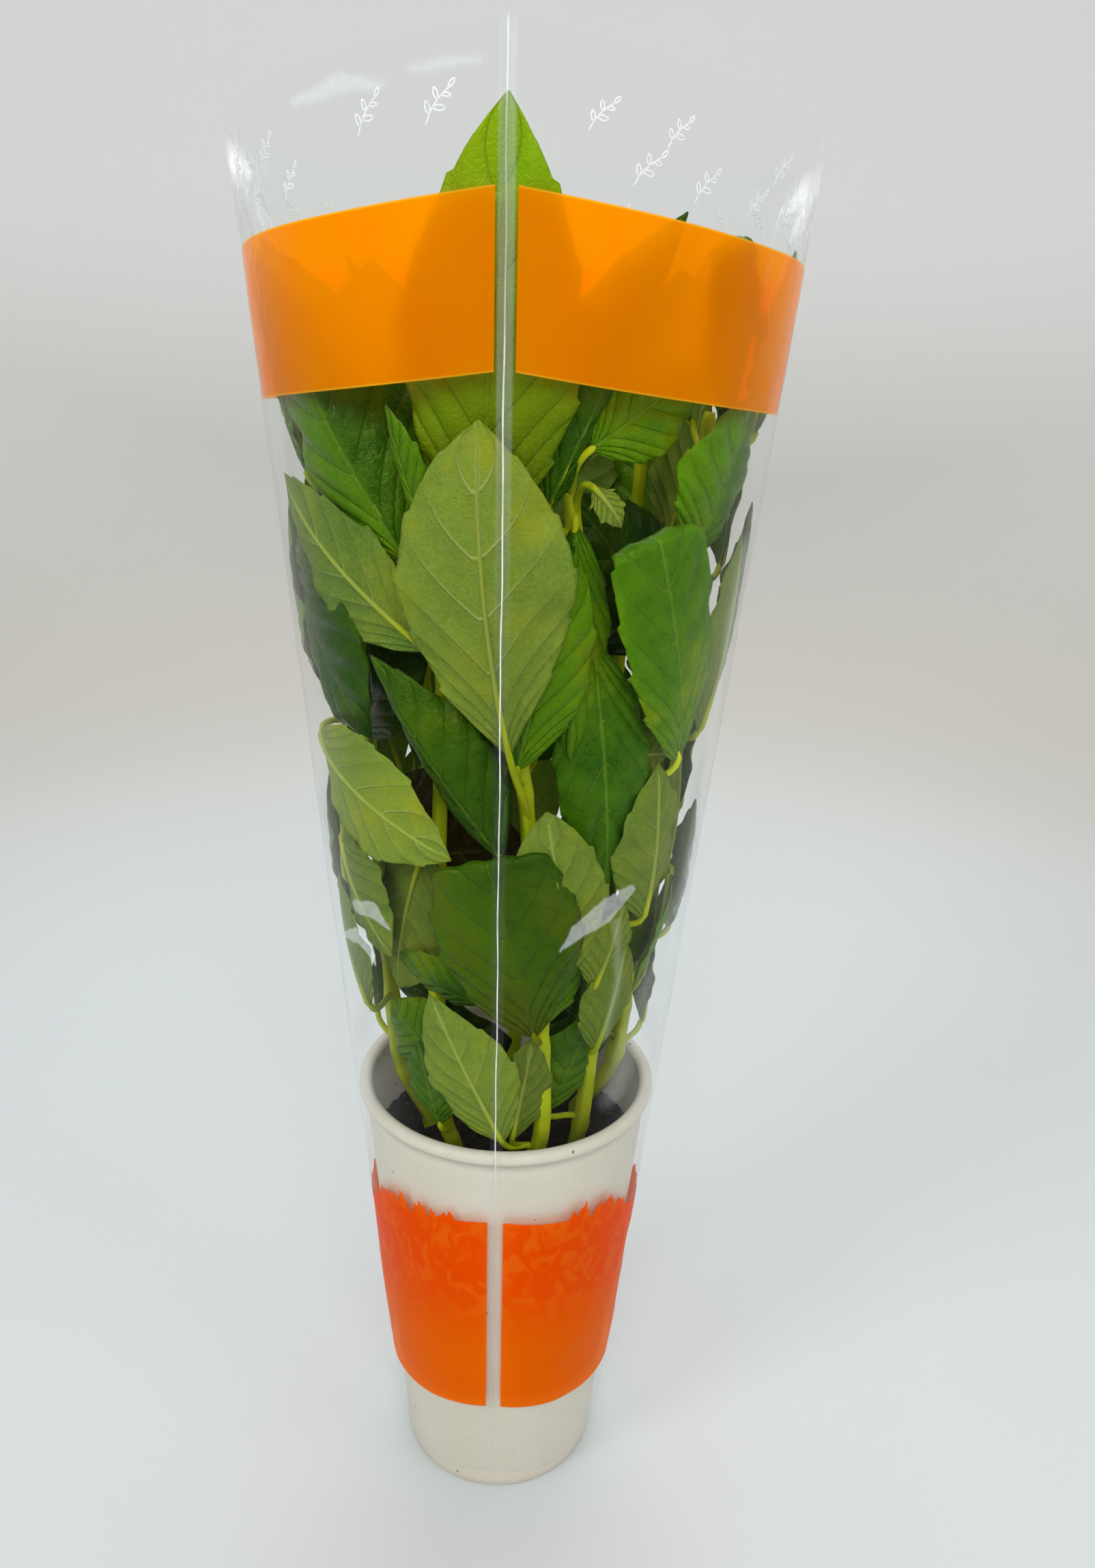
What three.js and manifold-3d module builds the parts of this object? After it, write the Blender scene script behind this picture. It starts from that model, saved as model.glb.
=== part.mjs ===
// A young basil plant in a white paper hot cup, wrapped in a clear conical sleeve.
// Millimetres, +Z up. The origin is the centre of the cup's foot, and the sleeve's front seam faces -Y.
// Azimuth is in degrees round +Z from -Y, growing towards +X. Depth is how far a point lies
// inside the sleeve.
import * as THREE from "three";
import { mergeVertices } from "three/addons/utils/BufferGeometryUtils.js";
import Module from "manifold-3d";

const wasm = await Module();
wasm.setup();

// Cup: a 16 oz paper hot cup, 136 tall, 90 across the rim and 61 across the foot.
const FOOT_R = 30.5;
const WALL_SLOPE = 0.0958; // radius gained per mm of height
const WALL_TOP = 130;
const WALL = 0.6;
const FOOT_RING = 1.6; // the wall is folded back on itself round the foot
const FLOOR_Z = 6.5;
const FLOOR = 1.0;
const RIM_R = 2.0; // rolled rim, radius of the roll
const RIM_AT = [43.0, 134.0]; // centre of the roll: distance from the axis, height
const RIM_TURN = [-110, 150]; // degrees round the roll, from under it outside to where it meets the wall
const RIM_FACETS = 8;
const CUP_SIDES = 40;
const GAP = 0.3; // between pieces that touch

// Root cube: growing medium that fills the cup to below its rim.
const SOIL_TOP = 112;
const SOIL_CROWN = 2.5; // how far the middle stands above the edge
const SOIL_SHOULDER = [0.8, 0.7]; // where the top rounds over: parts of its radius and of its crown
const SOIL_SIDES = 36;
const HOLE_DEPTH = 22;
const HOLE_SIDES = 12;

// Sleeve: two flat panels welded along the front and the back into a cone.
const FILM_R = 45.6; // at the height of the rim
const FILM_AT = 134;
const FILM_HALF_ANGLE = 0.0958; // radians
const FILM_SLOPE = Math.tan(FILM_HALF_ANGLE);
const FILM_IN = 0.3; // wall of the film inwards and outwards of its middle surface
const FILM_OUT = 0.2;
const PANEL_HALF_ANGLE = (Math.PI / 2) * Math.sin(FILM_HALF_ANGLE);
const APEX_Z = FILM_AT - FILM_R / FILM_SLOPE;
const SLEEVE_LOW = 348.5; // slant distance from the apex to the lower and upper straight cut edges
const SLEEVE_HIGH = 732.7;
const FIN_WIDE = 0.8; // the weld stands off the film as a thin fin
const FIN_PROUD = 2.2;
const FILM_SIDES = 48;
const FILM_ROWS = 3;

// Leaves and stems.
const BLADE = 0.7; // blade thickness
const LEAST_DEPTH = 1.2; // a blade that presses on the film lies this deep
const PRESS = 0.6; // how softly it flattens there
const RIB_STEPS = 40; // steps along which a rib's course is summed
const FOLD_SPAN = 0.12; // part of the length over which a blade folds back
const TOOTH = 1.0;
const TEETH = [0.3, 0.93]; // where the first and the last tooth stand
const TOOTH_DROP = 0.018; // part of the length over which a tooth falls back
const STEM_LOW = 2.0; // half of the square stem's side, near the root and above the middle
const STEM_HIGH = 1.5;
const STEM_STEPS = 6;
const PETIOLE = 0.9; // half of its thickness
const PETIOLE_STEPS = 3;
const PETIOLE_PULL = 0.35; // how far it keeps the stem's and the blade's direction, as a part of its span

const rad = THREE.MathUtils.degToRad;
const mix = (a, b, t) => a + (b - a) * t;
const smoothStep = (t) => {
  const u = Math.min(1, Math.max(0, t));
  return u * u * (3 - 2 * u);
};
const filmRadius = (z) => FILM_R + FILM_SLOPE * (z - FILM_AT);

function place(azimuth, z, depth) {
  const r = filmRadius(z) - depth;
  return new THREE.Vector3(r * Math.sin(azimuth), -r * Math.cos(azimuth), z);
}

// ---------- solids ----------

function solidOf(geometry) {
  const bare = geometry.clone();
  bare.deleteAttribute("normal");
  bare.deleteAttribute("uv");
  const merged = mergeVertices(bare, 1e-4);
  const index = merged.index.array;
  const kept = [];
  for (let i = 0; i < index.length; i += 3) {
    const [a, b, c] = [index[i], index[i + 1], index[i + 2]];
    if (a !== b && b !== c && c !== a) kept.push(a, b, c);
  }
  return new wasm.Manifold(
    new wasm.Mesh({
      numProp: 3,
      vertProperties: merged.attributes.position.array,
      triVerts: new Uint32Array(kept),
    }),
  );
}

function geometryOf(solid) {
  const mesh = solid.getMesh();
  const geometry = new THREE.BufferGeometry();
  const step = mesh.numProp;
  const positions = new Float32Array(mesh.numVert * 3);
  for (let i = 0; i < mesh.numVert; i++) {
    positions.set(mesh.vertProperties.subarray(i * step, i * step + 3), i * 3);
  }
  geometry.setAttribute("position", new THREE.BufferAttribute(positions, 3));
  geometry.setIndex(new THREE.BufferAttribute(new Uint32Array(mesh.triVerts), 1));
  geometry.computeVertexNormals();
  return geometry;
}

function lathe(profile, segments) {
  const points = profile.map(([r, z]) => new THREE.Vector2(r, z));
  return new THREE.LatheGeometry(points, segments).rotateX(Math.PI / 2);
}

// ---------- cup, root cube and sleeve ----------

const wallRadius = (z) => FOOT_R + WALL_SLOPE * z;

function cup() {
  const [rimR, rimZ] = RIM_AT;
  const roll = [];
  for (let i = 0; i <= RIM_FACETS; i++) {
    const turn = rad(mix(...RIM_TURN, i / RIM_FACETS));
    roll.push([rimR + RIM_R * Math.cos(turn), rimZ + RIM_R * Math.sin(turn)]);
  }
  const floorTop = FLOOR_Z + FLOOR;
  return lathe(
    [
      [0, FLOOR_Z],
      [FOOT_R - FOOT_RING, FLOOR_Z],
      [FOOT_R - FOOT_RING, 0],
      [FOOT_R, 0],
      [wallRadius(WALL_TOP), WALL_TOP],
      ...roll,
      [wallRadius(WALL_TOP) - WALL, WALL_TOP],
      [wallRadius(floorTop) - WALL, floorTop],
      [0, floorTop],
    ],
    CUP_SIDES,
  );
}

function rootCube(stems) {
  const low = FLOOR_Z + FLOOR + GAP;
  const side = (z) => wallRadius(z) - WALL - GAP;
  const [shoulderR, shoulderZ] = SOIL_SHOULDER;
  let block = solidOf(
    lathe(
      [
        [0, low],
        [side(low), low],
        [side(SOIL_TOP), SOIL_TOP],
        [side(SOIL_TOP) * shoulderR, SOIL_TOP + SOIL_CROWN * shoulderZ],
        [0, SOIL_TOP + SOIL_CROWN],
      ],
      SOIL_SIDES,
    ),
  );
  const holeTop = SOIL_TOP + 2 * SOIL_CROWN;
  const holeLow = SOIL_TOP - HOLE_DEPTH;
  for (const stem of Object.values(stems)) {
    const r = STEM_LOW * Math.SQRT2 + 1.5 * GAP; // the hole's flat sides come nearer than its corners
    const hole = lathe([[0, holeLow], [r, holeLow], [r, holeTop], [0, holeTop]], HOLE_SIDES);
    hole.translate(stem.foot[0], stem.foot[1], 0);
    block = block.subtract(solidOf(hole));
  }
  return geometryOf(block);
}

// A point of the film: slant is the straight row of the flat panel that it lies on.
function filmPoint(azimuth, slant, offset) {
  const turned = Math.abs(Math.atan2(Math.sin(azimuth), Math.cos(azimuth)));
  const onPanel = PANEL_HALF_ANGLE * (turned / (Math.PI / 2) - 1);
  const fromApex = slant / Math.cos(onPanel);
  const z = APEX_Z + fromApex * Math.cos(FILM_HALF_ANGLE);
  const r = fromApex * Math.sin(FILM_HALF_ANGLE) + offset;
  return [r * Math.sin(azimuth), -r * Math.cos(azimuth), z];
}

function sleeve() {
  const [around, rows] = [FILM_SIDES, FILM_ROWS];
  const positions = [];
  const index = [];
  const at = (side, row, column) => (side * (rows + 1) + row) * around + (column % around);
  for (const offset of [-FILM_IN, FILM_OUT]) {
    for (let row = 0; row <= rows; row++) {
      const slant = SLEEVE_LOW + ((SLEEVE_HIGH - SLEEVE_LOW) * row) / rows;
      for (let column = 0; column < around; column++) {
        positions.push(...filmPoint((2 * Math.PI * column) / around, slant, offset));
      }
    }
  }
  const quad = (a, b, c, d) => index.push(a, b, c, a, c, d);
  for (let column = 0; column < around; column++) {
    const next = column + 1;
    for (let row = 0; row < rows; row++) {
      quad(at(1, row, column), at(1, row, next), at(1, row + 1, next), at(1, row + 1, column));
      quad(at(0, row, next), at(0, row, column), at(0, row + 1, column), at(0, row + 1, next));
    }
    quad(at(0, 0, column), at(0, 0, next), at(1, 0, next), at(1, 0, column));
    quad(at(1, rows, column), at(1, rows, next), at(0, rows, next), at(0, rows, column));
  }
  const shell = new THREE.BufferGeometry();
  shell.setAttribute("position", new THREE.Float32BufferAttribute(positions, 3));
  shell.setIndex(index);
  let made = solidOf(shell);
  for (const turn of [0, Math.PI]) {
    made = made.add(solidOf(seamFin().rotateZ(turn)));
  }
  return geometryOf(made);
}

// The fin of the weld along the whole front seam.
function seamFin() {
  const [, lowY, lowZ] = filmPoint(0, SLEEVE_LOW, 0);
  const [, highY, highZ] = filmPoint(0, SLEEVE_HIGH, 0);
  const outline = new THREE.Shape([
    new THREE.Vector2(lowY, lowZ),
    new THREE.Vector2(highY, highZ),
    new THREE.Vector2(highY - FIN_PROUD, highZ),
    new THREE.Vector2(lowY - FIN_PROUD, lowZ),
  ]);
  const fin = new THREE.ExtrudeGeometry(outline, { depth: FIN_WIDE, bevelEnabled: false });
  fin.translate(0, 0, -FIN_WIDE / 2);
  fin.applyMatrix4(new THREE.Matrix4().set(0, 0, 1, 0, 1, 0, 0, 0, 0, 1, 0, 0, 0, 0, 0, 1));
  return fin;
}

// ---------- leaves ----------

// A leaf runs from base to tip, each [azimuth, height, depth], and leaves its stem at the height node.
// tilt is how far its left and right halves lean inwards, curl how much more they lean at the margin,
// and arch how much the blade bows out towards the film. bow bends it sideways, over = [where, angle]
// folds its end back inwards, a larger belly moves its widest place towards the tip, and a smaller
// round makes its outline fuller.
const PLAIN_LEAF = {
  tilt: [0, 0],
  curl: 15,
  arch: 8,
  bow: 0,
  over: null,
  belly: 0.88,
  round: 0.88,
  teeth: 4,
};

class Leaf {
  constructor(stem, node, base, tip, width, shape = {}) {
    Object.assign(this, PLAIN_LEAF, { stem, node, base, tip, width }, shape);
    const [az0, z0, d0] = base;
    const [az1, z1, d1] = tip;
    this.radius = filmRadius((z0 + z1) / 2) - (d0 + d1) / 2;
    const across = rad(az1 - az0) * this.radius;
    const flat = Math.hypot(across, z1 - z0);
    this.length = Math.hypot(flat, d1 - d0);
    this.heading = Math.atan2(across, z1 - z0);
    this.rise = Math.atan2(d1 - d0, flat);
    this.rib = this.ribPath(RIB_STEPS);
  }

  angles(s) {
    const heading = this.heading + rad(this.bow) * (1 - 2 * s);
    let slope = this.rise + rad(this.arch) * (2 * s - 1);
    if (this.over) slope += rad(this.over[1]) * smoothStep((s - this.over[0]) / FOLD_SPAN + 0.5);
    return [heading, slope];
  }

  ribPath(steps) {
    const path = [];
    let [across, z, depth] = [0, this.base[1], this.base[2]];
    for (let i = 0; i <= steps; i++) {
      path.push([across, z, depth, ...this.angles(i / steps)]);
      const [heading, slope] = this.angles((i + 0.5) / steps);
      const step = this.length / steps;
      across += Math.cos(slope) * Math.sin(heading) * step;
      z += Math.cos(slope) * Math.cos(heading) * step;
      depth += Math.sin(slope) * step;
    }
    return path;
  }

  halfWidth(s) {
    if (s <= 0 || s >= 1) return 0;
    return (this.width / 2) * Math.sin(Math.PI * s ** this.belly) ** this.round;
  }

  // s runs from base to tip, and side from -1 on the left margin to 1 on the right.
  // offset is along the blade's normal, inwards.
  point(s, side = 0, offset = 0, tooth = 0) {
    const steps = this.rib.length - 1;
    const i = Math.min(steps - 1, Math.floor(s * steps));
    const [across, z, depth, heading, slope] = this.rib[i].map((value, k) => {
      return mix(value, this.rib[i + 1][k], s * steps - i);
    });
    const reach = Math.abs(side) * (this.halfWidth(s) + tooth);
    const lean = rad(side < 0 ? this.tilt[0] : this.tilt[1]);
    const more = Math.max(1e-4, rad(this.curl) * Math.abs(side));
    const out = (Math.sign(side) * reach * (Math.sin(lean + more) - Math.sin(lean))) / more;
    const inwards = (reach * (Math.cos(lean) - Math.cos(lean + more))) / more;
    const edge = side ? lean + more : 0;
    const outOffset = -Math.sign(side) * offset * Math.sin(edge);
    const inOffset = offset * Math.cos(edge);
    const settle = (o, n) => [
      across + Math.cos(heading) * o - Math.sin(slope) * Math.sin(heading) * n,
      z - Math.sin(heading) * o - Math.sin(slope) * Math.cos(heading) * n,
      Math.cos(slope) * n,
    ];
    const [x, y, deep] = settle(out, inwards);
    const above = depth + deep - LEAST_DEPTH;
    const pressed = LEAST_DEPTH + (above + Math.hypot(above, PRESS)) / 2;
    const [dx, dy, dDeep] = settle(outOffset, inOffset);
    const end = [x + dx - across, y + dy - z, pressed + dDeep];
    return place(rad(this.base[0]) + end[0] / this.radius, end[1], end[2]);
  }

  // Stations along the rib and along a margin, where each tooth rises slowly and drops at once.
  ribStations() {
    if (!this.over) return [0, 0.25, 0.5, 0.75, 1];
    const [before, after] = [this.over[0] - 0.05, this.over[0] + 0.05];
    return [0, 0.25, 0.5, before, after, (after + 1) / 2, 1];
  }

  marginStations() {
    const stations = [[0, 0], [0.05, 0], [0.16, 0]];
    for (let i = 0; i < this.teeth; i++) {
      const s = mix(...TEETH, i / (this.teeth - 1));
      stations.push([s, TOOTH], [s + TOOTH_DROP, 0]);
    }
    stations.push([1, 0]);
    return stations;
  }

  // The rib is as thick as the petiole at the base and as thin as the blade from the middle on.
  ribHalf(s) {
    return mix(PETIOLE, BLADE / 2, smoothStep(2 * s));
  }

  // Blade and petiole as one closed surface. The petiole has four sides and runs along centres,
  // stem end first.
  solid(centres) {
    const rib = this.ribStations();
    const margin = this.marginStations();
    const positions = [];
    const index = [];
    const add = (point) => positions.push(...point.toArray()) / 3 - 1;
    const turned = (flip, a, b, c) => (flip ? index.push(a, c, b) : index.push(a, b, c));
    const corners = [-1, 1].map((side) => add(this.point(0, side, 0, PETIOLE)));
    const faces = [-1, 1].map((face) => {
      const ribRow = rib.map((s) => add(this.point(s, 0, face * this.ribHalf(s))));
      const rows = [-1, 1].map((side, which) => {
        return margin.map(([s, tooth], i) => {
          if (i === 0) return corners[which];
          if (i === margin.length - 1) return ribRow[ribRow.length - 1];
          return add(this.point(s, side, (face * BLADE) / 2, tooth));
        });
      });
      return { ribRow, rows };
    });
    faces.forEach(({ ribRow, rows }, face) => {
      rows.forEach((row, side) => {
        let [i, j] = [0, 0];
        while (i < ribRow.length - 1 || j < row.length - 1) {
          const ribNext = i < ribRow.length - 1 ? rib[i + 1] : Infinity;
          const rowNext = j < row.length - 1 ? margin[j + 1][0] : Infinity;
          if (ribNext < rowNext) {
            turned(face !== side, ribRow[i], ribRow[i + 1], row[j]);
            i++;
          } else if (rowNext < Infinity) {
            turned(face !== side, ribRow[i], row[j + 1], row[j]);
            j++;
          } else {
            i++;
          }
        }
      });
    });
    [0, 1].forEach((side) => {
      const [outer, inner] = [faces[0].rows[side], faces[1].rows[side]];
      for (let j = 0; j < outer.length - 1; j++) {
        turned(side === 1, outer[j], outer[j + 1], inner[j + 1]);
        if (j > 0) turned(side === 1, outer[j], inner[j + 1], inner[j]);
      }
    });
    const corner = (k) => new THREE.Vector3(...positions.slice(3 * k, 3 * k + 3));
    let normal = corner(faces[1].ribRow[0]).sub(corner(faces[0].ribRow[0])).normalize();
    let ring = [faces[0].ribRow[0], corners[1], faces[1].ribRow[0], corners[0]];
    for (let k = centres.length - 2; k >= 0; k--) {
      const along = centres[k + 1].clone().sub(centres[k]).normalize();
      normal = normal.clone().addScaledVector(along, -normal.dot(along)).normalize();
      const aside = along.clone().cross(normal).multiplyScalar(-PETIOLE);
      const deep = normal.clone().multiplyScalar(PETIOLE);
      const next = [
        add(centres[k].clone().sub(deep)),
        add(centres[k].clone().add(aside)),
        add(centres[k].clone().add(deep)),
        add(centres[k].clone().sub(aside)),
      ];
      for (let q = 0; q < 4; q++) {
        const r = (q + 1) % 4;
        index.push(ring[q], next[q], next[r], ring[q], next[r], ring[r]);
      }
      ring = next;
    }
    index.push(ring[0], ring[2], ring[1], ring[0], ring[3], ring[2]);
    const geometry = new THREE.BufferGeometry();
    geometry.setAttribute("position", new THREE.Float32BufferAttribute(positions, 3));
    geometry.setIndex(index);
    return geometry;
  }
}

// ---------- the plant ----------

// Each stem stands at foot [x, y] in the root cube and passes through path, each [azimuth, height, radius].
const stems = {
  front: {
    foot: [9, -22],
    path: [[20, 137, 35], [17, 163, 39], [9, 228, 42], [3, 262, 45], [-4, 292, 47]],
  },
  front_left: {
    foot: [-14, -15],
    path: [[-34, 137, 30], [-32, 180, 34], [-28, 232, 36], [-24, 272, 39], [-24, 290, 42]],
  },
  front_right: {
    foot: [22, -10],
    path: [[50, 137, 31], [46, 180, 35], [38, 210, 37], [32, 250, 39], [24, 284, 42], [18, 312, 45]],
  },
  left: {
    foot: [-24, 1],
    path: [[-84, 137, 32], [-84, 180, 36], [-84, 250, 41], [-86, 300, 45], [-86, 332, 48]],
  },
  right: {
    foot: [22, 10],
    path: [[92, 137, 32], [86, 180, 36], [84, 250, 41], [82, 296, 45], [80, 330, 48]],
  },
  back_left: {
    foot: [-14, 16],
    path: [[-135, 137, 31], [-134, 180, 35], [-134, 250, 40], [-134, 330, 48]],
  },
  back: {
    foot: [0, 24],
    path: [[178, 137, 32], [180, 180, 36], [181, 250, 40], [180, 330, 48]],
  },
  back_right: {
    foot: [12, 11],
    path: [[134, 137, 30], [134, 180, 34], [134, 250, 40], [135, 330, 48]],
  },
};

// The big leaf in the middle, and the blunt one on the right whose end folds back.
const bigLeaf = { belly: 1.1, teeth: 6 };
const bluntLeaf = { over: [0.78, 110], curl: 8, belly: 1, round: 0.5 };

// The leaves that show from the front, each placed by hand: stem, height of its joint, base, tip,
// width and shape.
const frontLeaves = [
  new Leaf("front", 290, [-6, 300, 9], [0, 386, 2], 38, { arch: 4, curl: 8, teeth: 6 }),
  new Leaf("front", 228, [2, 253, 3], [-5, 328, 1.6], 40, { ...bigLeaf, arch: 3, curl: 6, bow: -8 }),
  new Leaf("front", 284, [-7, 302, 20], [5, 244, 15], 27, { belly: 1.1 }),
  new Leaf("front", 240, [4, 248, 6], [16, 302, 4], 22, { curl: 8 }),
  new Leaf("front", 214, [0, 224, 8], [-39, 273, 7], 29, { tilt: [40, 10] }),
  new Leaf("front", 166, [12, 173, 4], [-9, 245, 1.6], 37, { over: [0.74, 140], curl: 8 }),
  new Leaf("front", 166, [15, 172, 10], [27, 205, 10], 16),
  new Leaf("front", 176, [21, 190, 5], [12, 239, 3], 26, { curl: 8, round: 0.75 }),
  new Leaf("front", 124, [2, 136, 7.5], [-22, 185, 2], 25),
  new Leaf("front", 124, [6, 136, 9], [12, 172, 6], 16),
  new Leaf("front_left", 286, [-26, 297, 8], [-62, 364, 3], 40, { tilt: [0, 38] }),
  new Leaf("front_left", 268, [-21, 276, 9], [-68, 313, 2.5], 26, { curl: 5 }),
  new Leaf("front_left", 286, [-19, 304, 6], [-26, 330, 5], 12, { tilt: [40, -20] }),
  new Leaf("front_left", 178, [-5, 181, 8], [-46, 189, 9], 18, { tilt: [30, -10] }),
  new Leaf("front_left", 156, [-26, 160, 10], [-54, 171, 10], 22, { tilt: [-10, 20] }),
  new Leaf("front_left", 212, [-28, 222, 11], [-45, 178, 9], 28, { round: 0.65 }),
  new Leaf("front_left", 124, [-27, 137, 9], [-31, 166, 6], 16),
  new Leaf("front_right", 300, [17, 306, 10], [19, 250, 8], 20, { tilt: [10, 40] }),
  new Leaf("front_right", 300, [10, 308, 13], [35, 369, 6], 28, { tilt: [0, 40] }),
  new Leaf("front_right", 310, [20, 322, 11], [50, 343, 9], 24),
  new Leaf("front_right", 228, [55, 247, 3.5], [28, 320, 2], 28, bluntLeaf),
  new Leaf("front_right", 280, [24, 279, 10], [36, 210, 8], 24, { tilt: [-10, 15] }),
  new Leaf("front_right", 196, [53, 201, 6], [47, 247, 4.5], 26),
  new Leaf("front_right", 240, [38, 250, 9], [58, 247, 8], 14),
  new Leaf("front_right", 160, [38, 163, 7], [46, 196, 6], 19),
  new Leaf("front_right", 178, [34, 184, 7], [41, 209, 5], 16),
  new Leaf("front_right", 128, [26, 140, 15], [42, 172, 13], 26),
  new Leaf("front_right", 304, [20, 314, 8], [27, 305, 5], 6, { arch: 40, teeth: 2 }),
  new Leaf("left", 292, [-84, 296, 4], [-45, 250, 9], 44, { curl: 8 }),
  new Leaf("left", 240, [-66, 248, 3], [-13, 225, 2], 31, { curl: 8 }),
  new Leaf("left", 222, [-66, 219, 5], [-38, 191, 4], 26),
  new Leaf("left", 200, [-70, 204, 5], [-54, 238, 7], 20),
  new Leaf("left", 160, [-64, 166, 6], [-76, 205, 3], 25),
  new Leaf("right", 316, [60, 324, 8], [41, 372, 2], 20, { over: [0.84, 120], curl: 8, belly: 1.1 }),
  new Leaf("right", 290, [55, 297, 8], [63, 335, 3], 34),
  new Leaf("right", 244, [72, 250, 5], [76, 302, 3], 30),
  new Leaf("right", 186, [80, 206, 6], [56, 178, 7], 15, { tilt: [30, -20] }),
];

// Leaves deeper inside, which close the gaps between those in front.
const innerLeaves = [
  new Leaf("left", 300, [-84, 312, 8], [-78, 352, 4], 26, { teeth: 2 }),
  new Leaf("left", 236, [-74, 244, 16], [-36, 286, 24], 28, { teeth: 2 }),
  new Leaf("left", 198, [-74, 214, 17], [10, 222, 27], 44, { teeth: 2 }),
  new Leaf("left", 160, [-80, 170, 15], [-34, 198, 21], 34, { teeth: 2 }),
  new Leaf("left", 134, [-78, 150, 16], [8, 156, 30], 32, { teeth: 2 }),
  new Leaf("right", 262, [70, 272, 18], [20, 312, 25], 34, { teeth: 2 }),
  new Leaf("right", 204, [74, 216, 17], [34, 262, 23], 36, { teeth: 2 }),
  new Leaf("right", 144, [82, 152, 16], [22, 176, 27], 36, { teeth: 2 }),
  new Leaf("right", 160, [80, 172, 10], [62, 228, 11], 28, { teeth: 2 }),
  new Leaf("right", 200, [79, 204, 9], [68, 250, 9], 26, { teeth: 2 }),
];

// A repeatable run of numbers between 0 and 1.
function drawer(seed) {
  let state = seed;
  return () => {
    state = (state * 16807) % 2147483647;
    return state / 2147483647;
  };
}

// The sides and the back: at each joint of a stem a pair of leaves, side by side and then one out
// and one in. sides says which of -1, left, and 1, right, the stem fills. Pairs side by side lie
// deeper on the left, clear of the next stem's.
const FIRST_JOINT = 142;
const JOINT_STEP = 35;
const HIDDEN_JOINTS = 6;
const HIGHEST_TIP = 368;

function leavesBehind(stem, azimuth, seed, sides) {
  const draw = drawer(seed);
  const made = [];
  const add = (z, base, tip, width, shape) => {
    made.push(new Leaf(stem, z, base, tip, width, { teeth: 2, ...shape }));
  };
  for (let joint = 0; joint < HIDDEN_JOINTS; joint++) {
    const z = FIRST_JOINT + JOINT_STEP * joint;
    const turn = (mm) => (mm / filmRadius(z)) * (180 / Math.PI);
    const far = 19 + 4 * draw();
    const up = Math.min(HIGHEST_TIP - z - 10, (0.75 + 0.2 * draw()) * filmRadius(z));
    const width = (0.44 + 0.1 * draw()) * filmRadius(z);
    const lean = draw() - 0.5;
    if (joint % 2 === 0) {
      for (const side of sides) {
        const base = [azimuth + side * turn(5), z + 8, 6];
        const tip = [azimuth + side * turn(far), z + 8 + up, side > 0 ? 6 : 12];
        add(z, base, tip, width, { curl: 8 });
      }
    } else {
      const outer = [azimuth + lean * 14, z + 10 + up, 1.8];
      const inner = [azimuth + lean * 10, z + 48, 23];
      add(z, [azimuth, z + 8, 3.5], outer, width + 4, { curl: 10 });
      add(z, [azimuth, z + 10, 20], inner, 20, { tilt: [30, 30], arch: -10 });
    }
  }
  return made;
}

const leaves = [
  ...frontLeaves,
  ...innerLeaves,
  ...leavesBehind("left", -92, 11, [-1]),
  ...leavesBehind("right", 92, 23, [1]),
  ...leavesBehind("back_left", -135, 37, [-1, 1]),
  ...leavesBehind("back", 180, 41, [-1, 1]),
  ...leavesBehind("back_right", 135, 59, [-1, 1]),
];

function squareTube(points, half, steps) {
  const section = new THREE.Shape([
    new THREE.Vector2(-half, -half),
    new THREE.Vector2(half, -half),
    new THREE.Vector2(half, half),
    new THREE.Vector2(-half, half),
  ]);
  const path = new THREE.CatmullRomCurve3(points);
  return new THREE.ExtrudeGeometry(section, { steps, extrudePath: path, bevelEnabled: false });
}

// The stem's centre line above the root cube. It starts straight above its foot.
const STEM_RISES = SOIL_TOP + SOIL_CROWN + 1.5;

function stemPoints({ foot, path }) {
  return [
    new THREE.Vector3(foot[0], foot[1], STEM_RISES),
    ...path.map(([azimuth, z, r]) => {
      return new THREE.Vector3(r * Math.sin(rad(azimuth)), -r * Math.cos(rad(azimuth)), z);
    }),
  ];
}

function stemFoot({ foot }) {
  const low = SOIL_TOP - HOLE_DEPTH + GAP;
  const up = [low, (low + STEM_RISES) / 2, STEM_RISES + 2];
  return squareTube(up.map((z) => new THREE.Vector3(foot[0], foot[1], z)), STEM_LOW, 2);
}

function stemAt(points, z) {
  const curve = new THREE.CatmullRomCurve3(points);
  let [low, high] = [0, 1];
  for (let i = 0; i < 24; i++) {
    const middle = (low + high) / 2;
    if (curve.getPoint(middle).z < z) low = middle;
    else high = middle;
  }
  return curve.getPoint(low);
}

// A petiole leaves the stem upwards and reaches the base along the leaf's rib.
function petiole(points, leaf) {
  const start = stemAt(points, leaf.node);
  const base = leaf.point(0);
  const along = leaf.point(0.1).sub(base).normalize();
  const span = base.distanceTo(start);
  return new THREE.CubicBezierCurve3(
    start,
    start.clone().add(new THREE.Vector3(0, 0, PETIOLE_PULL * span)),
    base.clone().addScaledVector(along, -PETIOLE_PULL * span),
    base,
  ).getPoints(PETIOLE_STEPS);
}

function leafyStem(name) {
  const points = stemPoints(stems[name]);
  const half = Math.ceil(points.length / 2);
  let made = solidOf(stemFoot(stems[name]));
  made = made.add(solidOf(squareTube(points.slice(0, half + 1), STEM_LOW, STEM_STEPS)));
  made = made.add(solidOf(squareTube(points.slice(half - 1), STEM_HIGH, STEM_STEPS)));
  for (const leaf of leaves.filter((one) => one.stem === name)) {
    made = made.add(solidOf(leaf.solid(petiole(points, leaf))));
  }
  return geometryOf(made);
}

// ---------- assembly ----------

function mesh(name, geometry, color, roughness) {
  const material = new THREE.MeshStandardMaterial({ color, roughness, metalness: 0 });
  const made = new THREE.Mesh(geometry, material);
  made.name = name;
  return made;
}

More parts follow.
